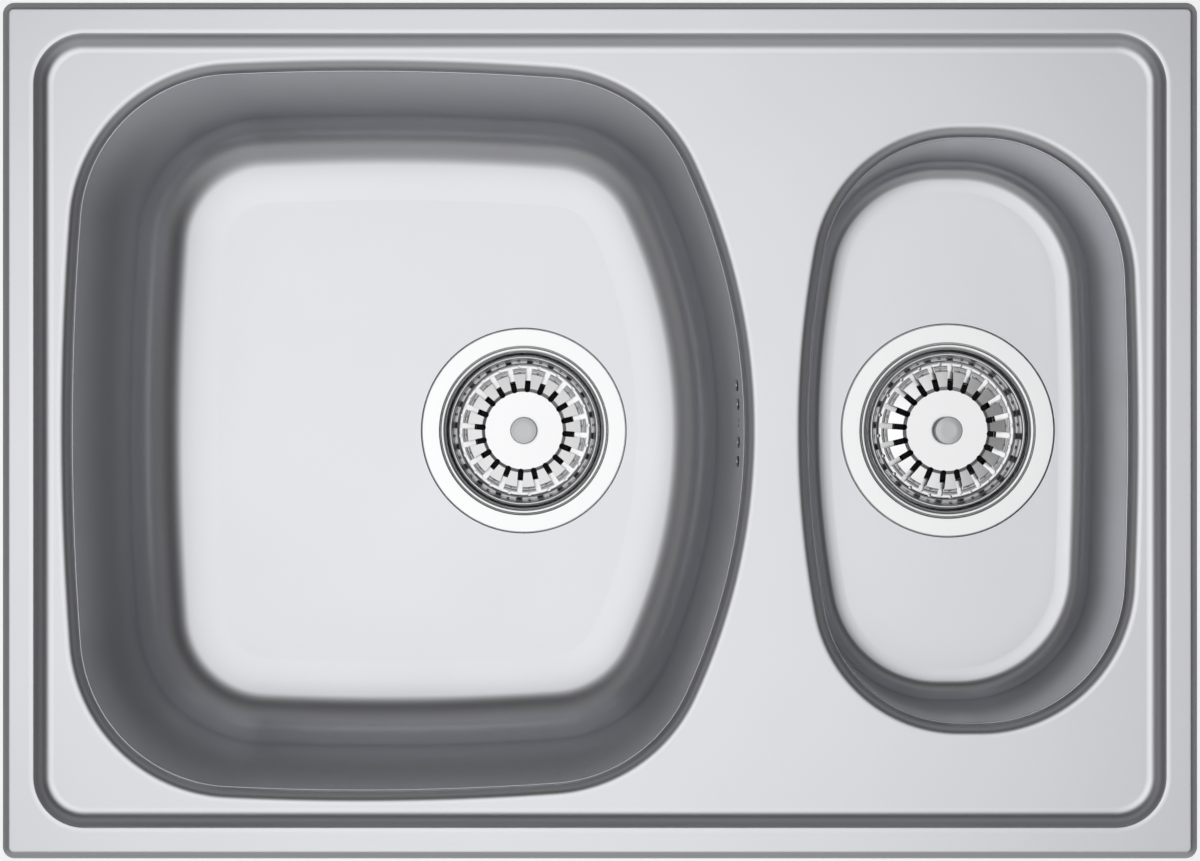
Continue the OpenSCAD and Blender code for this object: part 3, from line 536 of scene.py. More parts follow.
def slot_cutter(shape, w, length, height, place):
    """Adds an upright prism with round ends, long along X, moved and turned by place."""
    base = ops.create_circle(shape, segments=24, radius=w / 2, cap_ends=True)["verts"]
    for corner in base:
        corner.co.x += (length - w) / 2 if corner.co.x > 0 else -(length - w) / 2
    faces = list({face for corner in base for face in corner.link_faces})
    tall = ops.extrude_face_region(shape, geom=faces)["geom"]
    top = [part for part in tall if isinstance(part, bmesh.types.BMVert)]
    ops.translate(shape, verts=top, vec=(0, 0, height))
    ops.transform(shape, matrix=place, verts=base + top)


for name, bowl in bowls.items():
    flange_low, flange_high = (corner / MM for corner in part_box(name + "_waste_flange"))
    floor_z = flange_high.z
    wastes[name] = Vector((*(flange_low + flange_high).xy / 2, floor_z))
    draft = radians(bowl["draft"])
    foot_r = bowl["foot_r"]
    ease_r = bowl["ease_r"]
    foot_z = floor_z + ease_r - (ease_r - foot_r) * cos(radians(EASE))
    foot_x = (seam_z - foot_z) * tan(draft) + foot_r / cos(draft)
    foot_in = foot_x + (ease_r - foot_r) * sin(radians(EASE))
    foot = bend(foot_x, foot_z, foot_r, 180 + bowl["draft"], 270 - EASE, -1)
    foot += bend(foot_in, floor_z + ease_r, ease_r, 270 - EASE, 270, -1)[1:]
    foot += [(foot_in + FLAT_MARGIN, floor_z, 0, 1)]
    inner = [(0, seam_z)] + [(inset, seam_z + height) for inset, height in BEAD] + top_side(foot)
    outer = [(0, seam_z), (-SHEET / cos(draft), seam_z)] + under_side(foot)
    seat_z = floor_z - SEAT_DEPTH
    hole_in = SEAT_R - WASTE_HOLE_R
    seat = [(-SEAT_CORNER_R - FLAT_MARGIN, floor_z, 0, 1)]
    seat += bend(-SEAT_CORNER_R, floor_z - SEAT_CORNER_R, SEAT_CORNER_R, 90, 0)
    seat += bend(SEAT_FOOT_R, seat_z + SEAT_FOOT_R, SEAT_FOOT_R, 180, 270, -1)
    seat += [(hole_in, seat_z, 0, 1)]
    seat_under = [(hole_in, seat_z), (hole_in, seat_z - SHEET), (-SHEET, seat_z - SHEET),
        (-SHEET, floor_z - SHEET)]
    circle = [(wastes[name], SEAT_R, start, start + 120) for start in (0, 120, 240)]

    shape = bmesh.new()
    seam, seam_out = ring_of(shape, bowl["arcs"], (0, seam_z))
    floor_top = carry(shape, seam, seam_out, inner)
    floor_under = carry(shape, seam, seam_out, outer)
    mouth, mouth_out = ring_of(shape, circle, top_side(seat)[0])
    hole = carry(shape, mouth, mouth_out, top_side(seat))
    mouth_under = carry(shape, hole, mouth_out, seat_under)
    fill(shape, floor_top, mouth)
    fill(shape, floor_under, mouth_under)
    piece = make_piece(name + "_bowl_pressing", shape, satin_steel)
    if name == "main":
        shape = bmesh.new()
        cut_x = main_high.x - main_wall - OVERFLOW_CUT_IN
        for i in range(-2, 3):
            size = OVERFLOW_SLOT if i else (2 * OVERFLOW_HOLE_R, 2 * OVERFLOW_HOLE_R)
            place = shift((cut_x, OVERFLOW_Y + i * OVERFLOW_PITCH, deck_z - OVERFLOW_DROP))
            slot_cutter(shape, *size, OVERFLOW_CUT, place @ spun(90, "Y"))
        cut(piece, shape)
    weigh_normals(piece)
    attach(piece, "root")
    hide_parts(name + "_bowl")


# Waste flanges: in each bowl a bright pressed flange lies in the seat, with a crease round
# its rolled mouth. It is one sheet with the cup: a shelf, a seat for the plug, a sump with holes.
FLANGE_R = 57
FLANGE_EDGE_R = 0.3
FLANGE_T = 1.0
CREASE_R = 46.9
CREASE_DEPTH = 0.35
MOUTH_ROLL_R = 2.3
CUP_R = 43.3
CONE_TOP = -10
SHELF_OUT_R = 37.2
SHELF_IN_R = 28
SHELF_Z = -14.6
SUMP_R = 26
SUMP_TOP = -22
CUP_H = 30
SUMP_HOLE_R = 7
SUMP_HOLES_AT = 17.5
SCREW_HOLE_R = 4.2
CUT_BELOW = 3
CUT_ABOVE = 2
TURN_STEPS = 128
ROUND_TURN = 15
STRAIGHT = 178


def rounded(points):
    """The points of an outline, with an arc at each that gives a radius after its two places."""
    run = []
    count = len(points)
    for i, point in enumerate(points):
        here = Vector(point[:2])
        r = point[2] if len(point) > 2 else 0
        to_last = (Vector(points[i - 1][:2]) - here).normalized()
        to_next = (Vector(points[(i + 1) % count][:2]) - here).normalized()
        opening = to_last.angle(to_next, pi)
        if r == 0 or opening > radians(STRAIGHT):
            run.append(tuple(here))
            continue
        reach = r / tan(opening / 2)
        centre = here + (to_last + to_next).normalized() * (r / sin(opening / 2))
        start = here + to_last * reach - centre
        turn = start.angle_signed(here + to_next * reach - centre)
        steps = max(2, ceil(abs(degrees(turn)) / ROUND_TURN))
        for step in range(steps + 1):
            arm = start.copy()
            arm.rotate(Matrix.Rotation(-turn * step / steps, 2))
            run.append(tuple(centre + arm))
    return run


def lathe(profile, steps=TURN_STEPS, closed=True, shape=None):
    """Turns a profile of radii and heights about the upright axis, in a given shape or a new one."""
    shape = shape or bmesh.new()
    corners = [shape.verts.new((r, 0, z)) for r, z in rounded(profile)]
    pairs = list(zip(corners, corners[1:]))
    if closed:
        pairs.append((corners[-1], corners[0]))
    edges = [shape.edges.new(pair) for pair in pairs]
    ops.spin(shape, geom=corners + edges, cent=(0, 0, 0), axis=(0, 0, 1), angle=2 * pi,
        steps=steps, use_merge=True, use_duplicate=False)
    return shape


def peg(shape, r, low, high, at=(0, 0), sides=32):
    """Adds an upright peg, mostly to cut a round hole with."""
    ops.create_cone(shape, cap_ends=True, segments=sides, radius1=r, radius2=r,
        depth=high - low, matrix=shift((at[0], at[1], (low + high) / 2)))


def turned_about(angle, r):
    return (r * cos(radians(angle)), r * sin(radians(angle)))


bright_steel = metal_finish("bright_steel", (0.86, 0.865, 0.87), 0.24, 500.0, 0.01)
flange_profile = [
    (FLANGE_R, -FLANGE_T, 0.3), (FLANGE_R, 0, FLANGE_EDGE_R), (CREASE_R + 0.7, 0, 1.2),
    (CREASE_R, -CREASE_DEPTH, 0.2), (CREASE_R - 0.7, 0, 0.8), (CUP_R, 0, MOUTH_ROLL_R),
    (CUP_R, CONE_TOP, 2), (SHELF_OUT_R, SHELF_Z + 0.6, 1.5), (SHELF_IN_R, SHELF_Z, 0.6),
    (SHELF_IN_R - 0.4, SHELF_Z - 5, 0.4), (SUMP_R, SUMP_TOP - 0.4, 1), (SUMP_R, -CUP_H, 2),
    (0, -CUP_H), (0, -CUP_H - SHEET), (SUMP_R + SHEET, -CUP_H - SHEET, 2.8),
    (SUMP_R + SHEET, SUMP_TOP - 0.4 - SHEET, 0.6),
    (SHELF_IN_R + 0.5, SHELF_Z - 5 - SHEET, 0.6), (SHELF_IN_R + 0.9, SHELF_Z - SHEET, 0.5),
    (SHELF_OUT_R + 0.3, SHELF_Z + 0.6 - SHEET, 1.8), (CUP_R + SHEET, CONE_TOP, 2.8),
    (CUP_R + SHEET, -FLANGE_T, 1.2),
]
for name, at in wastes.items():
    shape = lathe(flange_profile)
    flange = make_piece(name + "_flange_and_cup", shape, bright_steel, at)
    shape = bmesh.new()
    low, high = -CUP_H - CUT_BELOW, -CUP_H + CUT_ABOVE
    peg(shape, SCREW_HOLE_R, low, high)
    for turn in range(0, 360, 60):
        peg(shape, SUMP_HOLE_R, low, high, turned_about(turn, SUMP_HOLES_AT))
    cut(flange, shape, at)
    weigh_normals(flange)
    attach(flange, "root")
    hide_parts(name + "_waste_flange")


# Baskets: a polished pressing that lifts out by its knob. A flat disc steps down to a slotted
# cone, a gutter with small drain holes runs round it, and the rim is rolled to a bead.
BASKET_R = 42.1
BEAD_R = 1.0
BASKET_RIM_Z = -1.8
DISC_R = 22
DISC_Z = -3.6
DISC_STEP = 1.6
PANEL_R = 32.2
PANEL_Z = -6.25
GUTTER_R = BASKET_R - 3.8
GUTTER_W = 5.3
GUTTER_Z = -10.5
SLOTS = 20
SLOT_W = 3.2
SLOT_IN_R = 21.5
SLOT_OUT_R = 36
SLOT_TURN = 4.5
SLOT_CUT = 12
DRAIN_R = 1.0
DRAIN_AT = GUTTER_R - 2
STEM_R = 3.2
GAP = 0.05
polished_steel = metal_finish("polished_steel", (0.79, 0.79, 0.80), 0.18, 400.0, 0.01)
wall_r = BASKET_R - SHEET
cone_r = GUTTER_R - GUTTER_W
step_r = DISC_R + DISC_STEP
basket_profile = [
    (STEM_R + GAP, DISC_Z), (DISC_R, DISC_Z, 0.6), (step_r, DISC_Z - DISC_STEP, 0.6),
    (PANEL_R, PANEL_Z, 0.5), (cone_r, GUTTER_Z, 3), (GUTTER_R, GUTTER_Z, 3),
    (wall_r - 0.6, BASKET_RIM_Z - 0.6, 0.3),
]
basket_profile += [
    (BASKET_R - BEAD_R + BEAD_R * cos(radians(a)), BASKET_RIM_Z + BEAD_R * sin(radians(a)))
    for a in range(215, -60, -15)
]
basket_profile += [
    (GUTTER_R + SHEET, GUTTER_Z - SHEET, 1.6), (cone_r - SHEET, GUTTER_Z - SHEET, 1),
    (PANEL_R - SHEET, PANEL_Z - SHEET, 0.6), (step_r, DISC_Z - DISC_STEP - SHEET, 1),
    (DISC_R, DISC_Z - SHEET, 1), (STEM_R + GAP, DISC_Z - SHEET),
]
for name, at in wastes.items():
    shape = lathe(basket_profile, steps=160)
    basket = make_piece(name + "_strainer", shape, polished_steel, at)
    shape = bmesh.new()
    for i in range(SLOTS):
        angle = 90 - SLOT_TURN - 360 / SLOTS * i
        place = spun(angle) @ shift(((SLOT_IN_R + SLOT_OUT_R) / 2, 0, GUTTER_Z - CUT_BELOW))
        slot_cutter(shape, SLOT_W, SLOT_OUT_R - SLOT_IN_R, SLOT_CUT, place)
        drain = turned_about(angle + 180 / SLOTS, DRAIN_AT)
        peg(shape, DRAIN_R, GUTTER_Z - CUT_BELOW, GUTTER_Z + CUT_ABOVE, drain, sides=16)
    cut(basket, shape, at)
    weigh_normals(basket)
    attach(basket, name + "_basket_set")
    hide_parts(name + "_basket")


# Knobs: each is turned from bar with its stem, in one piece with the collar under the disc,
# the collar that carries the plug and the pin that goes into the clamp screw's socket.
KNOB_R = 7.5
KNOB_H = 8
PLUG_BOTTOM = SUMP_TOP + 1
PLUG_T = 4
PLUG_R = SUMP_R + 1.2
PIN_R = 2.5
PIN_END = -34
FLECK_SCALE = 30.0
GLOSS_RANGE = 0.16


def moulded_finish(name, low, high, roughness, depth=0.15, scale=500.0):
    """A moulding's finish: slight clouds in its tone and gloss, and a fine grain."""
    finish, tree, shader, place = new_finish(name)
    grain = fine_noise(tree, place, scale, 4.0)
    clouds = fine_noise(tree, place, FLECK_SCALE)
    gloss = clouds * GLOSS_RANGE + (roughness - GLOSS_RANGE / 2)
    dress([shader], low, high, grain * 0.4 + clouds * 0.6, [gloss], depth, grain)
    return finish


turned_steel = metal_finish("turned_steel", (0.70, 0.71, 0.72), 0.38, 60.0, 0.03)
rubber = moulded_finish("rubber", (0.012, 0.012, 0.013), (0.035, 0.035, 0.037), 0.60, 0.2, 700.0)
knob_top = DISC_Z + KNOB_H
under_disc = DISC_Z - SHEET - GAP
collar_z = PLUG_BOTTOM - GAP
stem_profile = [
    (0, knob_top - 0.15), (4.5, knob_top - 0.1, 12), (KNOB_R, knob_top - 0.35, 0.5),
    (KNOB_R, knob_top - 3, 0.8), (4, knob_top - 4.6, 1.2), (4, DISC_Z + GAP + 0.6, 0.5),
    (4.6, DISC_Z + GAP, 0.1), (STEM_R, DISC_Z + GAP), (STEM_R, under_disc), (6, under_disc, 0.2),
    (6, under_disc - 2, 0.3), (STEM_R, under_disc - 2), (STEM_R, collar_z), (7, collar_z, 0.2),
    (7, collar_z - 1, 0.2), (PIN_R, collar_z - 1), (PIN_R, PIN_END + 1), (PIN_R - 1, PIN_END, 0.3),
    (0, PIN_END),
]
plug_top = PLUG_BOTTOM + PLUG_T
plug_profile = [
    (STEM_R + GAP, PLUG_BOTTOM), (PLUG_R - 0.5, PLUG_BOTTOM, 0.8), (PLUG_R, plug_top, 0.6),
    (PLUG_R - 5, plug_top, 0.5), (PLUG_R - 6, plug_top - 0.8, 0.5), (12, plug_top - 0.8, 0.5),
    (11, plug_top, 0.5), (STEM_R + GAP, plug_top),
]
for name, at in wastes.items():
    shape = lathe(stem_profile, steps=72, closed=False)
    stem = make_piece(name + "_knob_and_stem", shape, turned_steel, at, weighted=True)
    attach(stem, name + "_basket_set")
    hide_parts(name + "_basket_stem")
    plug = make_piece(name + "_rubber_plug", lathe(plug_profile, steps=96), rubber, at, weighted=True)
    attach(plug, name + "_basket_set")
    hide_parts(name + "_basket_plug")


# Gaskets: two moulded rubber rings to each waste, a thin one under the flange and a thick one
# with a ribbed edge under the bowl's floor. The clamp screw squeezes both.
UNDER_SEAT = -SEAT_DEPTH - SHEET
BODY_GASKET_T = 2.5
BODY_IN_R = CUP_R + SHEET + 1.2
low = -SEAT_DEPTH + GAP
top = UNDER_SEAT - GAP
rings = {
    "_flange_gasket": [
        (WASTE_HOLE_R + 1, low, 0.1), (FLANGE_R - 0.5, low, 0.1), (FLANGE_R - 0.5, low + 0.5, 0.15),
        (WASTE_HOLE_R + 1, low + 0.5, 0.15),
    ],
    "_body_gasket": [
        (BODY_IN_R, top, 0.2), (FLANGE_R, top, 0.3), (FLANGE_R, top - 0.8, 0.2),
        (FLANGE_R - 0.6, top - 1, 0.15), (FLANGE_R - 0.6, top - 1.5, 0.15), (FLANGE_R, top - 1.7, 0.2),
        (FLANGE_R, top - BODY_GASKET_T, 0.3), (BODY_IN_R, top - BODY_GASKET_T, 0.2),
    ],
}
for name, at in wastes.items():
    for node, profile in rings.items():
        ring = make_piece(name + node + "_ring", lathe(profile), rubber, at, weighted=True)
        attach(ring, "root")
        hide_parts(name + node)


# Waste bodies: white polypropylene, moulded with a boss on four ribs for the clamp screw and
# webs under the flange. The outlet has a real thread, and the main one a spigot for the overflow.
BODY_TOP = UNDER_SEAT - BODY_GASKET_T - 2 * GAP
BODY_WALL = 3
BODY_OUT_R = BODY_IN_R + BODY_WALL
BOSS_R = 9
BOSS_BORE_R = 4.1
BOSS_TOP = -CUP_H - SHEET - 1
BOSS_H = 12
BODY_FLOOR = BOSS_TOP - BOSS_H
OUTLET_TOP = BODY_FLOOR - 12
OUTLET_H = 20
OUTLET_R = 23.9
OUTLET_IN_R = OUTLET_R - BODY_WALL - 1
THREAD_PITCH = 2.309
THREAD_DEPTH = 1.1
RIB_T = 3
WEB_T = 1.8
PIPE_R = 10
PIPE_BORE_R = 8
SPIGOT_END = FLANGE_R + 15
spigot_z = BODY_TOP - 21
head_low, head_high = (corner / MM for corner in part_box("overflow_head"))
spout = Vector(((head_low.x + head_high.x) / 2 - GAP, OVERFLOW_Y, 0))
main_foot = Vector((*wastes["main"].xy, 0))
to_spout = spout - main_foot
pipe_turn = Matrix.Rotation(atan2(to_spout.y, to_spout.x), 4, "Z")


def thread(shape, r, depth, pitch, low, high, steps):
    """Adds the ridge of a screw thread round the upright axis, its root sunk into the shaft."""
    turns = (high - low - pitch) / pitch
    count = ceil(turns * steps)
    section = ((-depth - 0.1, -0.46), (0, -0.12), (0, 0.12), (-depth - 0.1, 0.46))
    corners = [shape.verts.new((r + x, 0, low + (0.5 + z) * pitch)) for x, z in section]
    ops.spin(shape, geom=[shape.faces.new(corners)], cent=(0, 0, 0), axis=(0, 0, 1),
        dvec=(0, 0, turns * pitch / count), angle=2 * pi * turns, steps=count)


def prism(shape, points, depth, place):
    """Adds a prism: an outline of X and Z places, its depth along Y, moved and turned by place."""
    base = [shape.verts.new((x, -depth / 2, z)) for x, z in rounded(points)]
    tall = ops.extrude_face_region(shape, geom=[shape.faces.new(base)])["geom"]
    back = [part for part in tall if isinstance(part, bmesh.types.BMVert)]
    ops.translate(shape, verts=back, vec=(0, depth, 0))
    ops.transform(shape, matrix=place, verts=base + back)


def lay_along(x, z, turn=Matrix.Identity(4)):
    """The place of an upright shape laid along +X from a point, then turned about the middle."""
    return turn @ shift((x, 0, z)) @ spun(90, "Y")


def move(shape, place):
    ops.transform(shape, matrix=place, verts=shape.verts)


def add_to(piece, shape, at=(0, 0, 0)):
    """Adds a shape in millimetres, moved to its place, to a piece."""
    into_place(shape, at)
    shape.from_mesh(piece.data)
    shape.to_mesh(piece.data)
    shape.free()
    smooth(piece)


def spigot(length, place):
    """The beaded end of a pipe, its length along Z, then moved and turned by place."""
    shape = lathe([
        (PIPE_BORE_R, 0), (PIPE_R - 0.5, 0), (PIPE_R - 0.5, length - 5), (PIPE_R, length - 4.5),
        (PIPE_R, length - 2, 0.4), (PIPE_R - 0.8, length - 1.4), (PIPE_R - 0.8, length, 0.3),
        (PIPE_BORE_R, length, 0.3),
    ], steps=64)
    move(shape, place)
    return shape


white_moulding = moulded_finish("white_moulding", (0.80, 0.80, 0.78), (0.88, 0.88, 0.86), 0.42)
outlet_low = OUTLET_TOP - OUTLET_H
body_profile = [
    (BODY_IN_R, BODY_TOP, 0.4), (FLANGE_R, BODY_TOP, 0.4), (FLANGE_R, BODY_TOP - 3.5, 0.8),
    (BODY_OUT_R, BODY_TOP - 3.5, 1.2), (BODY_OUT_R, BODY_FLOOR, 6), (OUTLET_R, OUTLET_TOP, 0.4),
    (OUTLET_R - THREAD_DEPTH, OUTLET_TOP - 0.8, 0.3), (OUTLET_R - THREAD_DEPTH, outlet_low, 0.8),
    (OUTLET_IN_R, outlet_low, 0.3), (OUTLET_IN_R, OUTLET_TOP + BODY_WALL, 2),
    (BODY_IN_R, BODY_FLOOR + BODY_WALL, 4),
]
boss_profile = [(BOSS_BORE_R, BODY_FLOOR, 0.3), (BOSS_R, BODY_FLOOR, 0.5), (BOSS_R, BOSS_TOP, 0.8),
    (BOSS_BORE_R, BOSS_TOP, 0.3)]
rib_points = [(BOSS_R - 1, BODY_FLOOR + 2), (BODY_IN_R + 0.5, BODY_FLOOR + 2),
    (BODY_IN_R + 0.5, BODY_FLOOR + 10), (BOSS_R - 1, BODY_FLOOR + 10)]
web_points = [(BODY_OUT_R - 1, BODY_TOP - 3), (FLANGE_R - 1.2, BODY_TOP - 3),
    (BODY_OUT_R + 0.5, BODY_TOP - 14), (BODY_OUT_R - 1, BODY_TOP - 14)]
for name, at in wastes.items():
    shape = lathe(body_profile)
    body = make_piece(name + "_moulded_waste_body", shape, white_moulding, at)
    shape = bmesh.new()
    if name == "main":
        peg(shape, PIPE_BORE_R, 0, 12)
        move(shape, lay_along(BODY_IN_R - 4, spigot_z, pipe_turn))
        cut(body, shape, at)
        shape = spigot(SPIGOT_END - BODY_IN_R, lay_along(BODY_IN_R, spigot_z, pipe_turn))
    thread(shape, OUTLET_R, THREAD_DEPTH, THREAD_PITCH, outlet_low + 0.4, OUTLET_TOP - 0.6, 64)
    lathe(boss_profile, steps=64, shape=shape)
    for turn in range(45, 360, 90):
        prism(shape, rib_points, RIB_T, spun(turn))
    for turn in range(15, 360, 30):
        prism(shape, web_points, WEB_T, pipe_turn @ spun(turn))
    add_to(body, shape, at)
    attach(body, "root")
    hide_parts(name + "_waste_body", name + "_waste_outlet")


# Clamp screws and nuts: in each waste a turned screw stands in the cup, with a socket in its
# head for the strainer's pin, and pulls a six-sided brass nut up against the body's boss.
SCREW_R = 4
SCREW_HEAD_R = 9
SCREW_HEAD_H = 5
SCREW_THREAD = (0.55, 1.25)
SOCKET_R = 2.8
NUT_H = 6
NUT_R = 7.5
screw_tip = BODY_FLOOR - 8
head_z = -CUP_H + GAP
head_top = head_z + SCREW_HEAD_H
nut_low = BODY_FLOOR - GAP - NUT_H
screw_profile = [
    (0, screw_tip), (3, screw_tip, 0.3), (3.4, screw_tip + 0.8), (3.4, head_z - 4),
    (SCREW_R, head_z - 3.4), (SCREW_R, head_z, 0.1), (SCREW_HEAD_R, head_z, 0.2),
    (SCREW_HEAD_R, head_top, 0.7), (4.2, head_top, 0.3), (SOCKET_R, head_top - 1.2, 0.2),
    (SOCKET_R, -CUP_H - 6), (0, -CUP_H - 6.8),
]
nut_corners = [(6.9, -1), (6.9, 0), (8, 0.6), (8, NUT_H - 0.6), (6.9, NUT_H), (6.9, NUT_H + 1),
    (10, NUT_H + 1), (10, -1)]
nut_bore = [(0, -1), (4.7, -1), (4.7, 0), (SCREW_R + GAP, 0.7), (SCREW_R + GAP, NUT_H + 1),
    (0, NUT_H + 1)]
brass = metal_finish("brass", (0.80, 0.62, 0.28), 0.30, 80.0, 0.04, unevenness=0.06)
for name, at in wastes.items():
    shape = lathe(screw_profile, steps=72, closed=False)
    thread(shape, SCREW_R, *SCREW_THREAD, screw_tip + 0.6, head_z - 3.6, 32)
    screw = make_piece(name + "_waste_screw", shape, turned_steel, at, weighted=True)
    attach(screw, "root")
    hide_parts(name + "_clamp_screw")
    shape = bmesh.new()
    peg(shape, NUT_R, 0, NUT_H, sides=6)
    nut_at = at + Vector((0, 0, nut_low))
    nut = make_piece(name + "_brass_nut", shape, brass, nut_at)
    shape = lathe(nut_corners, steps=72)
    cut(nut, lathe(nut_bore, steps=48, closed=False, shape=shape), nut_at)
    weigh_normals(nut)
    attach(nut, "root")
    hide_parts(name + "_clamp_nut")


# Overflow: a cross-slotted screw through the bowl's wall holds a white moulded head behind the
# slots, with a rubber ring between. A grey pipe with dark ring nuts leads down to the main waste.
HEAD_W = 4 * OVERFLOW_PITCH + OVERFLOW_SLOT[0] + 16
HEAD_H = OVERFLOW_SLOT[1] + 14
HEAD_DEPTH = 22
HEAD_BACK = 21.2
HEAD_WALL = 2.5
HEAD_ROUND = 2.2
HEAD_RIB_T = 1.4
PILLAR_R = 4.2
PILLAR_BORE_R = 2.05
SPOUT_L = 16
PIPE_BEND_R = 22
RING_NUT_R = 14
RING_NUT_L = 18
RING_NUT_RIBS = 30
GRIP_T = 1.3
CROSS_W = 0.9
overflow_z = deck_z - OVERFLOW_DROP
spout_end = overflow_z - HEAD_H / 2 - SPOUT_L
screw_low, screw_high = (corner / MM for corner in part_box("overflow_screw"))
screw_l = screw_high.x - screw_low.x


def box(shape, low, high, w, h):
    """Adds a box from one X to another, with its middle on that axis."""
    middle = shift(((low + high) / 2, 0, 0))
    ops.create_cube(shape, size=1, matrix=middle @ Matrix.Diagonal((high - low, w, h, 1)))


screw_at = (screw_low.x, OVERFLOW_Y, overflow_z)
shape = lathe([(0, 0), (3, 0, 3), (4.5, 0.9, 0.6), (4.5, 2, 0.2), (2, 2), (2, 6), (1.7, 6.3),
    (1.7, screw_l - 0.8), (1.2, screw_l), (0, screw_l)], steps=64, closed=False)
move(shape, lay_along(0, 0))
screw = make_piece("overflow_cross_screw", shape, turned_steel, screw_at)
shape = bmesh.new()
for turn in (0, 90):
    prism(shape, [(-1, -2.6), (1.2, -1.9), (1.2, 1.9), (-1, 2.6)], CROSS_W, spun(turn, "X"))
cut(screw, shape, screw_at)
shape = bmesh.new()
thread(shape, 2, 0.3, 0.8, 6, screw_l - 0.3, 24)
move(shape, lay_along(0, 0))
add_to(screw, shape, screw_at)
weigh_normals(screw)
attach(screw, "root")
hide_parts("overflow_screw")

head_at = Vector((head_low.x, OVERFLOW_Y, overflow_z))
shape = bmesh.new()
box(shape, 0, HEAD_BACK, HEAD_W, HEAD_H)
back_edges = [edge for edge in shape.edges if max(corner.co.x for corner in edge.verts) > 1]
ops.bevel(shape, geom=back_edges, offset=HEAD_ROUND, segments=4, profile=0.5, affect="EDGES",
    material=-1)
head = make_piece("overflow_moulded_head", shape, white_moulding, head_at)
shape = bmesh.new()
box(shape, -1, HEAD_DEPTH - HEAD_WALL, HEAD_W - 2 * HEAD_WALL, HEAD_H - 2 * HEAD_WALL)
cut(head, shape, head_at)
shape = bmesh.new()
peg(shape, PIPE_BORE_R, -HEAD_H / 2 - 2, -HEAD_H / 2 + 4, (HEAD_DEPTH / 2, 0), sides=48)
cut(head, shape, head_at)
down = shift((HEAD_DEPTH / 2, 0, 1 - HEAD_H / 2)) @ spun(180, "X")
add_to(head, spigot(SPOUT_L + 1, down), head_at)
pillar = [(PILLAR_BORE_R, 0, 0.2), (PILLAR_R, 0, 0.4), (PILLAR_R, HEAD_BACK - 1),
    (PILLAR_BORE_R, HEAD_BACK - 1)]
shape = lathe(pillar, steps=48)
move(shape, lay_along(0, 0))
rib_points = [(HEAD_BACK - 1, -9), (HEAD_DEPTH, -8), (HEAD_DEPTH, 8), (HEAD_BACK - 1, 9)]
for y in (-18, -6, 6, 18):
    prism(shape, rib_points, HEAD_RIB_T, shift((0, y, 0)))
add_to(head, shape, head_at)
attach(head, "root")
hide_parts("overflow_head")
# The ring between keeps its own plain solid, in rubber.
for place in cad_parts["overflow_gasket"].material_slots:
    place.material = rubber


def hose(shape, stations):
    """A closed skin through rings, each a place and a radius, that comes back to the first."""
    rings = []
    for place, r in stations:
        ring = ops.create_circle(shape, cap_ends=False, segments=48, radius=r, matrix=place)
        rings.append(list({edge for corner in ring["verts"] for edge in corner.link_edges}))
    for one, other in zip(rings, rings[1:] + rings[:1]):
        ops.bridge_loops(shape, edges=one + other)


def copy_to(shape, part, place):
    """Puts a copy of a part, moved and turned by place, into a shape, and drops the part."""
    move(part, place)
    copy = bpy.data.meshes.new("copy")
    part.to_mesh(copy)
    part.free()
    shape.from_mesh(copy)
    bpy.data.meshes.remove(copy)


grey_moulding = moulded_finish("grey_moulding", (0.62, 0.63, 0.64), (0.70, 0.71, 0.72), 0.46)
dark_moulding = moulded_finish("dark_moulding", (0.10, 0.105, 0.11), (0.15, 0.155, 0.16), 0.48)
pipe_reach = to_spout.length
pipe_z = wastes["main"].z + spigot_z
pipe_top = spout_end - GAP
path = [shift((pipe_reach, 0, z)) for z in (pipe_top, pipe_top - 3, pipe_z + PIPE_BEND_R)]
bend_c = shift((pipe_reach - PIPE_BEND_R, 0, pipe_z + PIPE_BEND_R))
path += [bend_c @ spun(angle, "Y") @ shift((PIPE_BEND_R, 0, 0))
    for angle in range(9, 91, 9)]
path += [lay_along(x, pipe_z) for x in (SPIGOT_END + 3, SPIGOT_END + GAP)]
shape = bmesh.new()
hose(shape, [(place, PIPE_R) for place in path] + [(place, PIPE_BORE_R) for place in reversed(path)])
move(shape, pipe_turn)
pipe = make_piece("overflow_grey_pipe", shape, grey_moulding, main_foot, weighted=True)
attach(pipe, "root")
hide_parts("overflow_pipe")

ring_profile = [
    (PIPE_R + 0.2, 0, 0.3), (RING_NUT_R - 1.6, 0, 0.5), (RING_NUT_R - 1.1, RING_NUT_L - 3),
    (RING_NUT_R, RING_NUT_L - 2.4, 0.3), (RING_NUT_R, RING_NUT_L, 0.6),
    (PIPE_R + 0.2, RING_NUT_L, 0.3),
]
grip_points = [(RING_NUT_R - 2, 0.6), (RING_NUT_R - 0.1, 1.2), (RING_NUT_R - 0.1, RING_NUT_L - 2.5),
    (RING_NUT_R - 2, RING_NUT_L - 2.5)]
nut_places = (
    pipe_turn @ shift((pipe_reach, 0, spout_end - RING_NUT_L / 2)),
    lay_along(SPIGOT_END - RING_NUT_L / 2, pipe_z, pipe_turn),
)
shape = bmesh.new()
for place in nut_places:
    ring = lathe(ring_profile, steps=96)
    for i in range(RING_NUT_RIBS):
        prism(ring, grip_points, GRIP_T, spun(360 / RING_NUT_RIBS * i))
    copy_to(shape, ring, place)
ring_nuts = make_piece("overflow_ring_nuts", shape, dark_moulding, main_foot, weighted=True)
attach(ring_nuts, "root")
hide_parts("overflow_nuts")


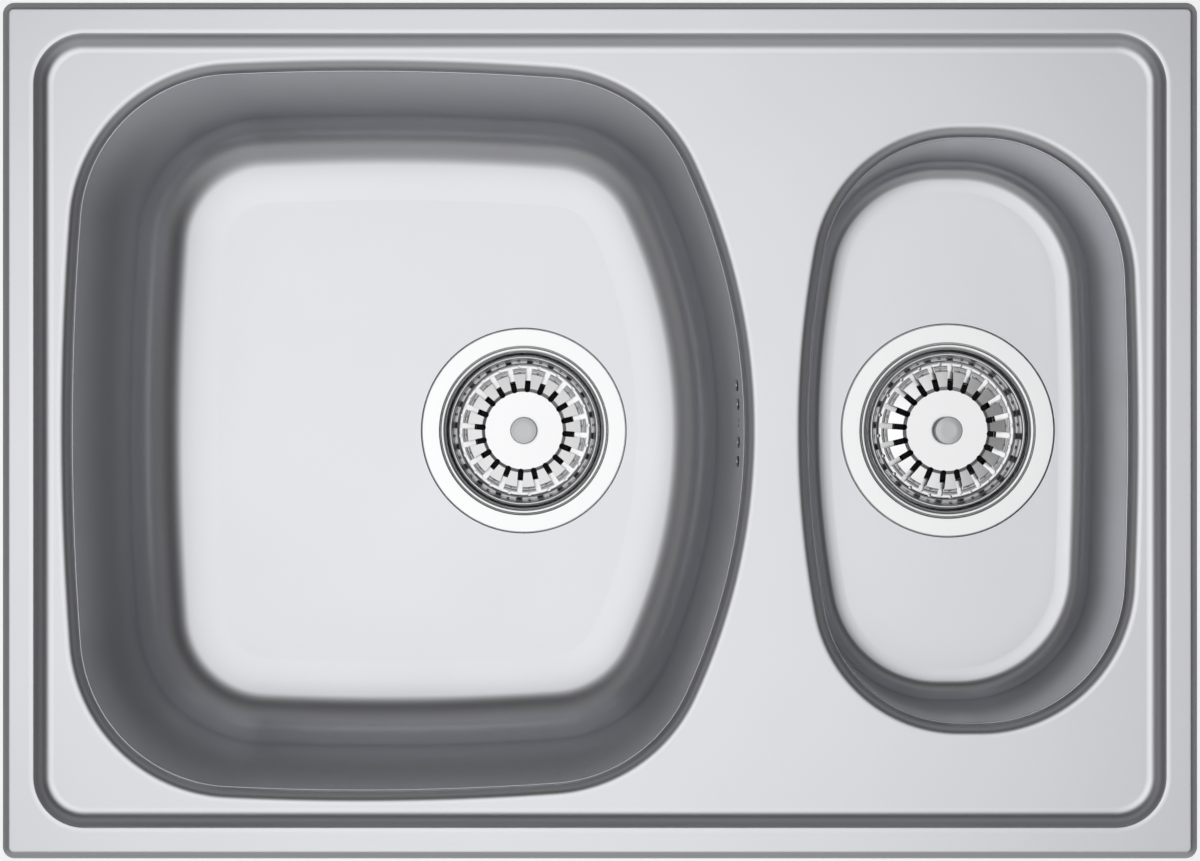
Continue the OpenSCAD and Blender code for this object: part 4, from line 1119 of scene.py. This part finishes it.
# Sound pads: self-adhesive rubber pads under both floors, in front of and behind the wastes,
# with a waffle of small squares moulded on their undersides.
PAD_T = 2
PAD_GAP = 8
PAD_CORNER_R = 8
PAD_SIZES = {"main": (140, 52), "half": (90, 46)}
PAD_EDGE = 0.3
WAFFLE_PITCH = 7
WAFFLE_H = 0.7
WAFFLE_SINK = 0.1
pad_top = -SHEET - GAP
pad_low = pad_top - PAD_T + WAFFLE_H
pad_rubber = moulded_finish("pad_rubber", (0.018, 0.018, 0.019), (0.034, 0.034, 0.036), 0.62, 0.3)
for name, at in wastes.items():
    w, d = PAD_SIZES[name]
    shape = bmesh.new()
    for side in (-1, 1):
        y = side * (SEAT_R + PAD_GAP + d / 2)
        run = [(PAD_EDGE, pad_top), (0, pad_top - PAD_EDGE), (0, pad_low + PAD_EDGE),
            (PAD_EDGE, pad_low)]
        ring, ring_out = ring_of(shape, rectangle_arcs(w, d, PAD_CORNER_R), run[0])
        low = carry(shape, ring, ring_out, run)
        fill(shape, ring)
        fill(shape, low)
        ops.translate(shape, verts=list(ring_out), vec=(0, y, 0))
        across, along = int((w - 8) / WAFFLE_PITCH), int((d - 6) / WAFFLE_PITCH)
        for i in range(across):
            for j in range(along):
                if i in (0, across - 1) and j in (0, along - 1):
                    continue
                place = shift(((i - (across - 1) / 2) * WAFFLE_PITCH,
                    y + (j - (along - 1) / 2) * WAFFLE_PITCH, pad_low - (WAFFLE_H - WAFFLE_SINK) / 2))
                ops.create_cone(shape, cap_ends=True, segments=4, radius1=3.6, radius2=4.3,
                    depth=WAFFLE_H + WAFFLE_SINK, matrix=place @ spun(45))
    pads = make_piece(name + "_waffle_pads", shape, pad_rubber, at)
    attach(pads, "root")
    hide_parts(name + "_sound_pads")


# Rim seal: a strip of closed-cell foam stuck inside the rolled edge, all the way round. It
# lies on the worktop, with its lower edges a little rounded.
SEAL_OUT = 4.6
SEAL_IN = 9.6
SEAL_ROUND = 0.7
seal_top = rim_z - SHEET - GAP
foam = moulded_finish("foam", (0.022, 0.022, 0.024), (0.045, 0.045, 0.048), 0.75, 0.6, 900.0)
shape = bmesh.new()
lows, highs = [], []
for inset, r, way in ((SEAL_OUT, EDGE_CORNER_R - SEAL_OUT, 1), (SEAL_IN, EDGE_CORNER_R + 0.4, -1)):
    arcs = rectangle_arcs(plate_w - 2 * inset, plate_d - 2 * inset, r)
    run = [(way * SEAL_ROUND, 0), (way * SEAL_ROUND * 0.3, SEAL_ROUND * 0.3), (0, SEAL_ROUND),
        (0, seal_top)]
    low, low_out = ring_of(shape, arcs, run[0])
    lows.append(low)
    highs.append(carry(shape, low, low_out, run))
fill(shape, *lows)
fill(shape, *highs)
seal = make_piece("foam_seal", shape, foam)
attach(seal, "root")
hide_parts("rim_seal")


# Clips: eight folded, zinc-plated brackets are spot-welded under the ledge round the bowls.
# Each carries a cross-slotted screw from below, and a jaw with a toothed tip turns on it.
CLIP_X = 150
CLIP_Y = 100
CLIP_INSET = 19.3
CLIP_SCREW_R = 2.5
BRACKET_L = 40
BRACKET_T = 1.2
BRACKET_DROP = 11
BRACKET_AT = 26.2
SHELF_FROM = 13.5
JAW_TOP = -40
TOOTH_H = 3
JAW_T = 4
JAW_W = 13
JAW_L = 34
JAW_LIP_T = 1.4
TOOTH_PITCH = 3.5
zinc = metal_finish("zinc_plated", (0.66, 0.67, 0.68), 0.36, 120.0, 0.05, unevenness=0.08)
clips = [(end * CLIP_X, side * plate_d / 2, side * 90) for side in (1, -1) for end in (-1, 1)]
clips += [(side * plate_w / 2, end * CLIP_Y, 90 - side * 90) for side in (1, -1) for end in (-1, 1)]
clip_places = [shift((x, y, 0)) @ spun(turn) for x, y, turn in clips]
top = deck_z - SHEET - GAP
low = top - BRACKET_DROP
bracket_points = [
    (-BRACKET_AT - 2.5, top), (-BRACKET_AT, top, 1.4), (-BRACKET_AT, low + BRACKET_T, 0.3),
    (-SHELF_FROM, low + BRACKET_T, 0.2), (-SHELF_FROM, low, 0.2),
    (-BRACKET_AT - BRACKET_T, low, 1.5), (-BRACKET_AT - BRACKET_T, top - BRACKET_T, 0.3),
    (-BRACKET_AT - 2.5, top - BRACKET_T),
]
brackets, holes, screws, recesses, threads = (bmesh.new() for _ in range(5))
screw_top = deck_z - SHEET - 3
jaw_low = JAW_TOP - TOOTH_H - JAW_T
head_top = jaw_low - GAP
clip_screw_profile = [
    (0, head_top - 3.2), (2.6, head_top - 3.2, 2), (4.5, head_top - 2, 0.8), (4.5, head_top, 0.2),
    (2.1, head_top), (2.1, screw_top - 0.6), (1.6, screw_top), (0, screw_top),
]
recess_points = [(-2.5, head_top - 4), (2.5, head_top - 4), (1.8, head_top - 1.7),
    (-1.8, head_top - 1.7)]
for place in clip_places:
    prism(brackets, bracket_points, BRACKET_L, place)
    on_screw = place @ shift((-CLIP_INSET, 0, 0))
    hole, ridge = bmesh.new(), bmesh.new()
    peg(hole, CLIP_SCREW_R + 0.1, low - 1, low + BRACKET_T + 1)
    screw = lathe(clip_screw_profile, steps=40, closed=False)
    thread(ridge, CLIP_SCREW_R, 0.4, 0.8, head_top, screw_top - 0.3, 18)
    for part, shape in ((hole, holes), (screw, screws), (ridge, threads)):
        copy_to(shape, part, on_screw)
    for turn in (0, 90):
        prism(recesses, recess_points, CROSS_W, on_screw @ spun(turn))
brackets = make_piece("folded_brackets", brackets, zinc)
cut(brackets, holes)
screws = make_piece("bracket_screws", screws, zinc)
cut(screws, recesses)
add_to(screws, threads)
for piece, node in ((brackets, "clip_brackets"), (screws, "clip_screws")):
    weigh_normals(piece)
    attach(piece, "root")
    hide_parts(node)

tip = JAW_T + TOOTH_H
arm_points = [(4, 0.4), (JAW_L - 0.6, 0, 0.6), (JAW_L, tip, 0.2), (JAW_L - 1, tip, 0.2)]
for tooth in (JAW_L, JAW_L - TOOTH_PITCH):
    arm_points += [(tooth - 2.6, JAW_T + 0.2, 0.2), (tooth - 3.4, tip, 0.2), (tooth - 4.5, tip, 0.2)]
arm_points += [(JAW_L - 9.4, JAW_T, 0.5), (4, JAW_T)]
lip_points = [(5, JAW_T - 0.2), (JAW_L - 10, JAW_T - 0.2), (JAW_L - 12, JAW_T + 1.6), (6, JAW_T + 1.6)]
quarter = spun(90)
for i, place in enumerate(clip_places, 1):
    shape = lathe([(CLIP_SCREW_R + GAP, 0, 0.2), (JAW_W / 2, 0, 0.4), (JAW_W / 2, tip, 0.6),
        (CLIP_SCREW_R + GAP, tip, 0.2)], steps=64)
    prism(shape, arm_points, JAW_W, quarter)
    for side in (-1, 1):
        prism(shape, lip_points, JAW_LIP_T, quarter @ shift((0, side * (JAW_W - JAW_LIP_T) / 2, 0)))
    move(shape, place @ shift((-CLIP_INSET, 0, jaw_low)))
    jaw = make_piece("toothed_jaw_%d" % i, shape, zinc)
    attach(jaw, "jaw_%d" % i)
    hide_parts("clip_jaw_%d" % i)
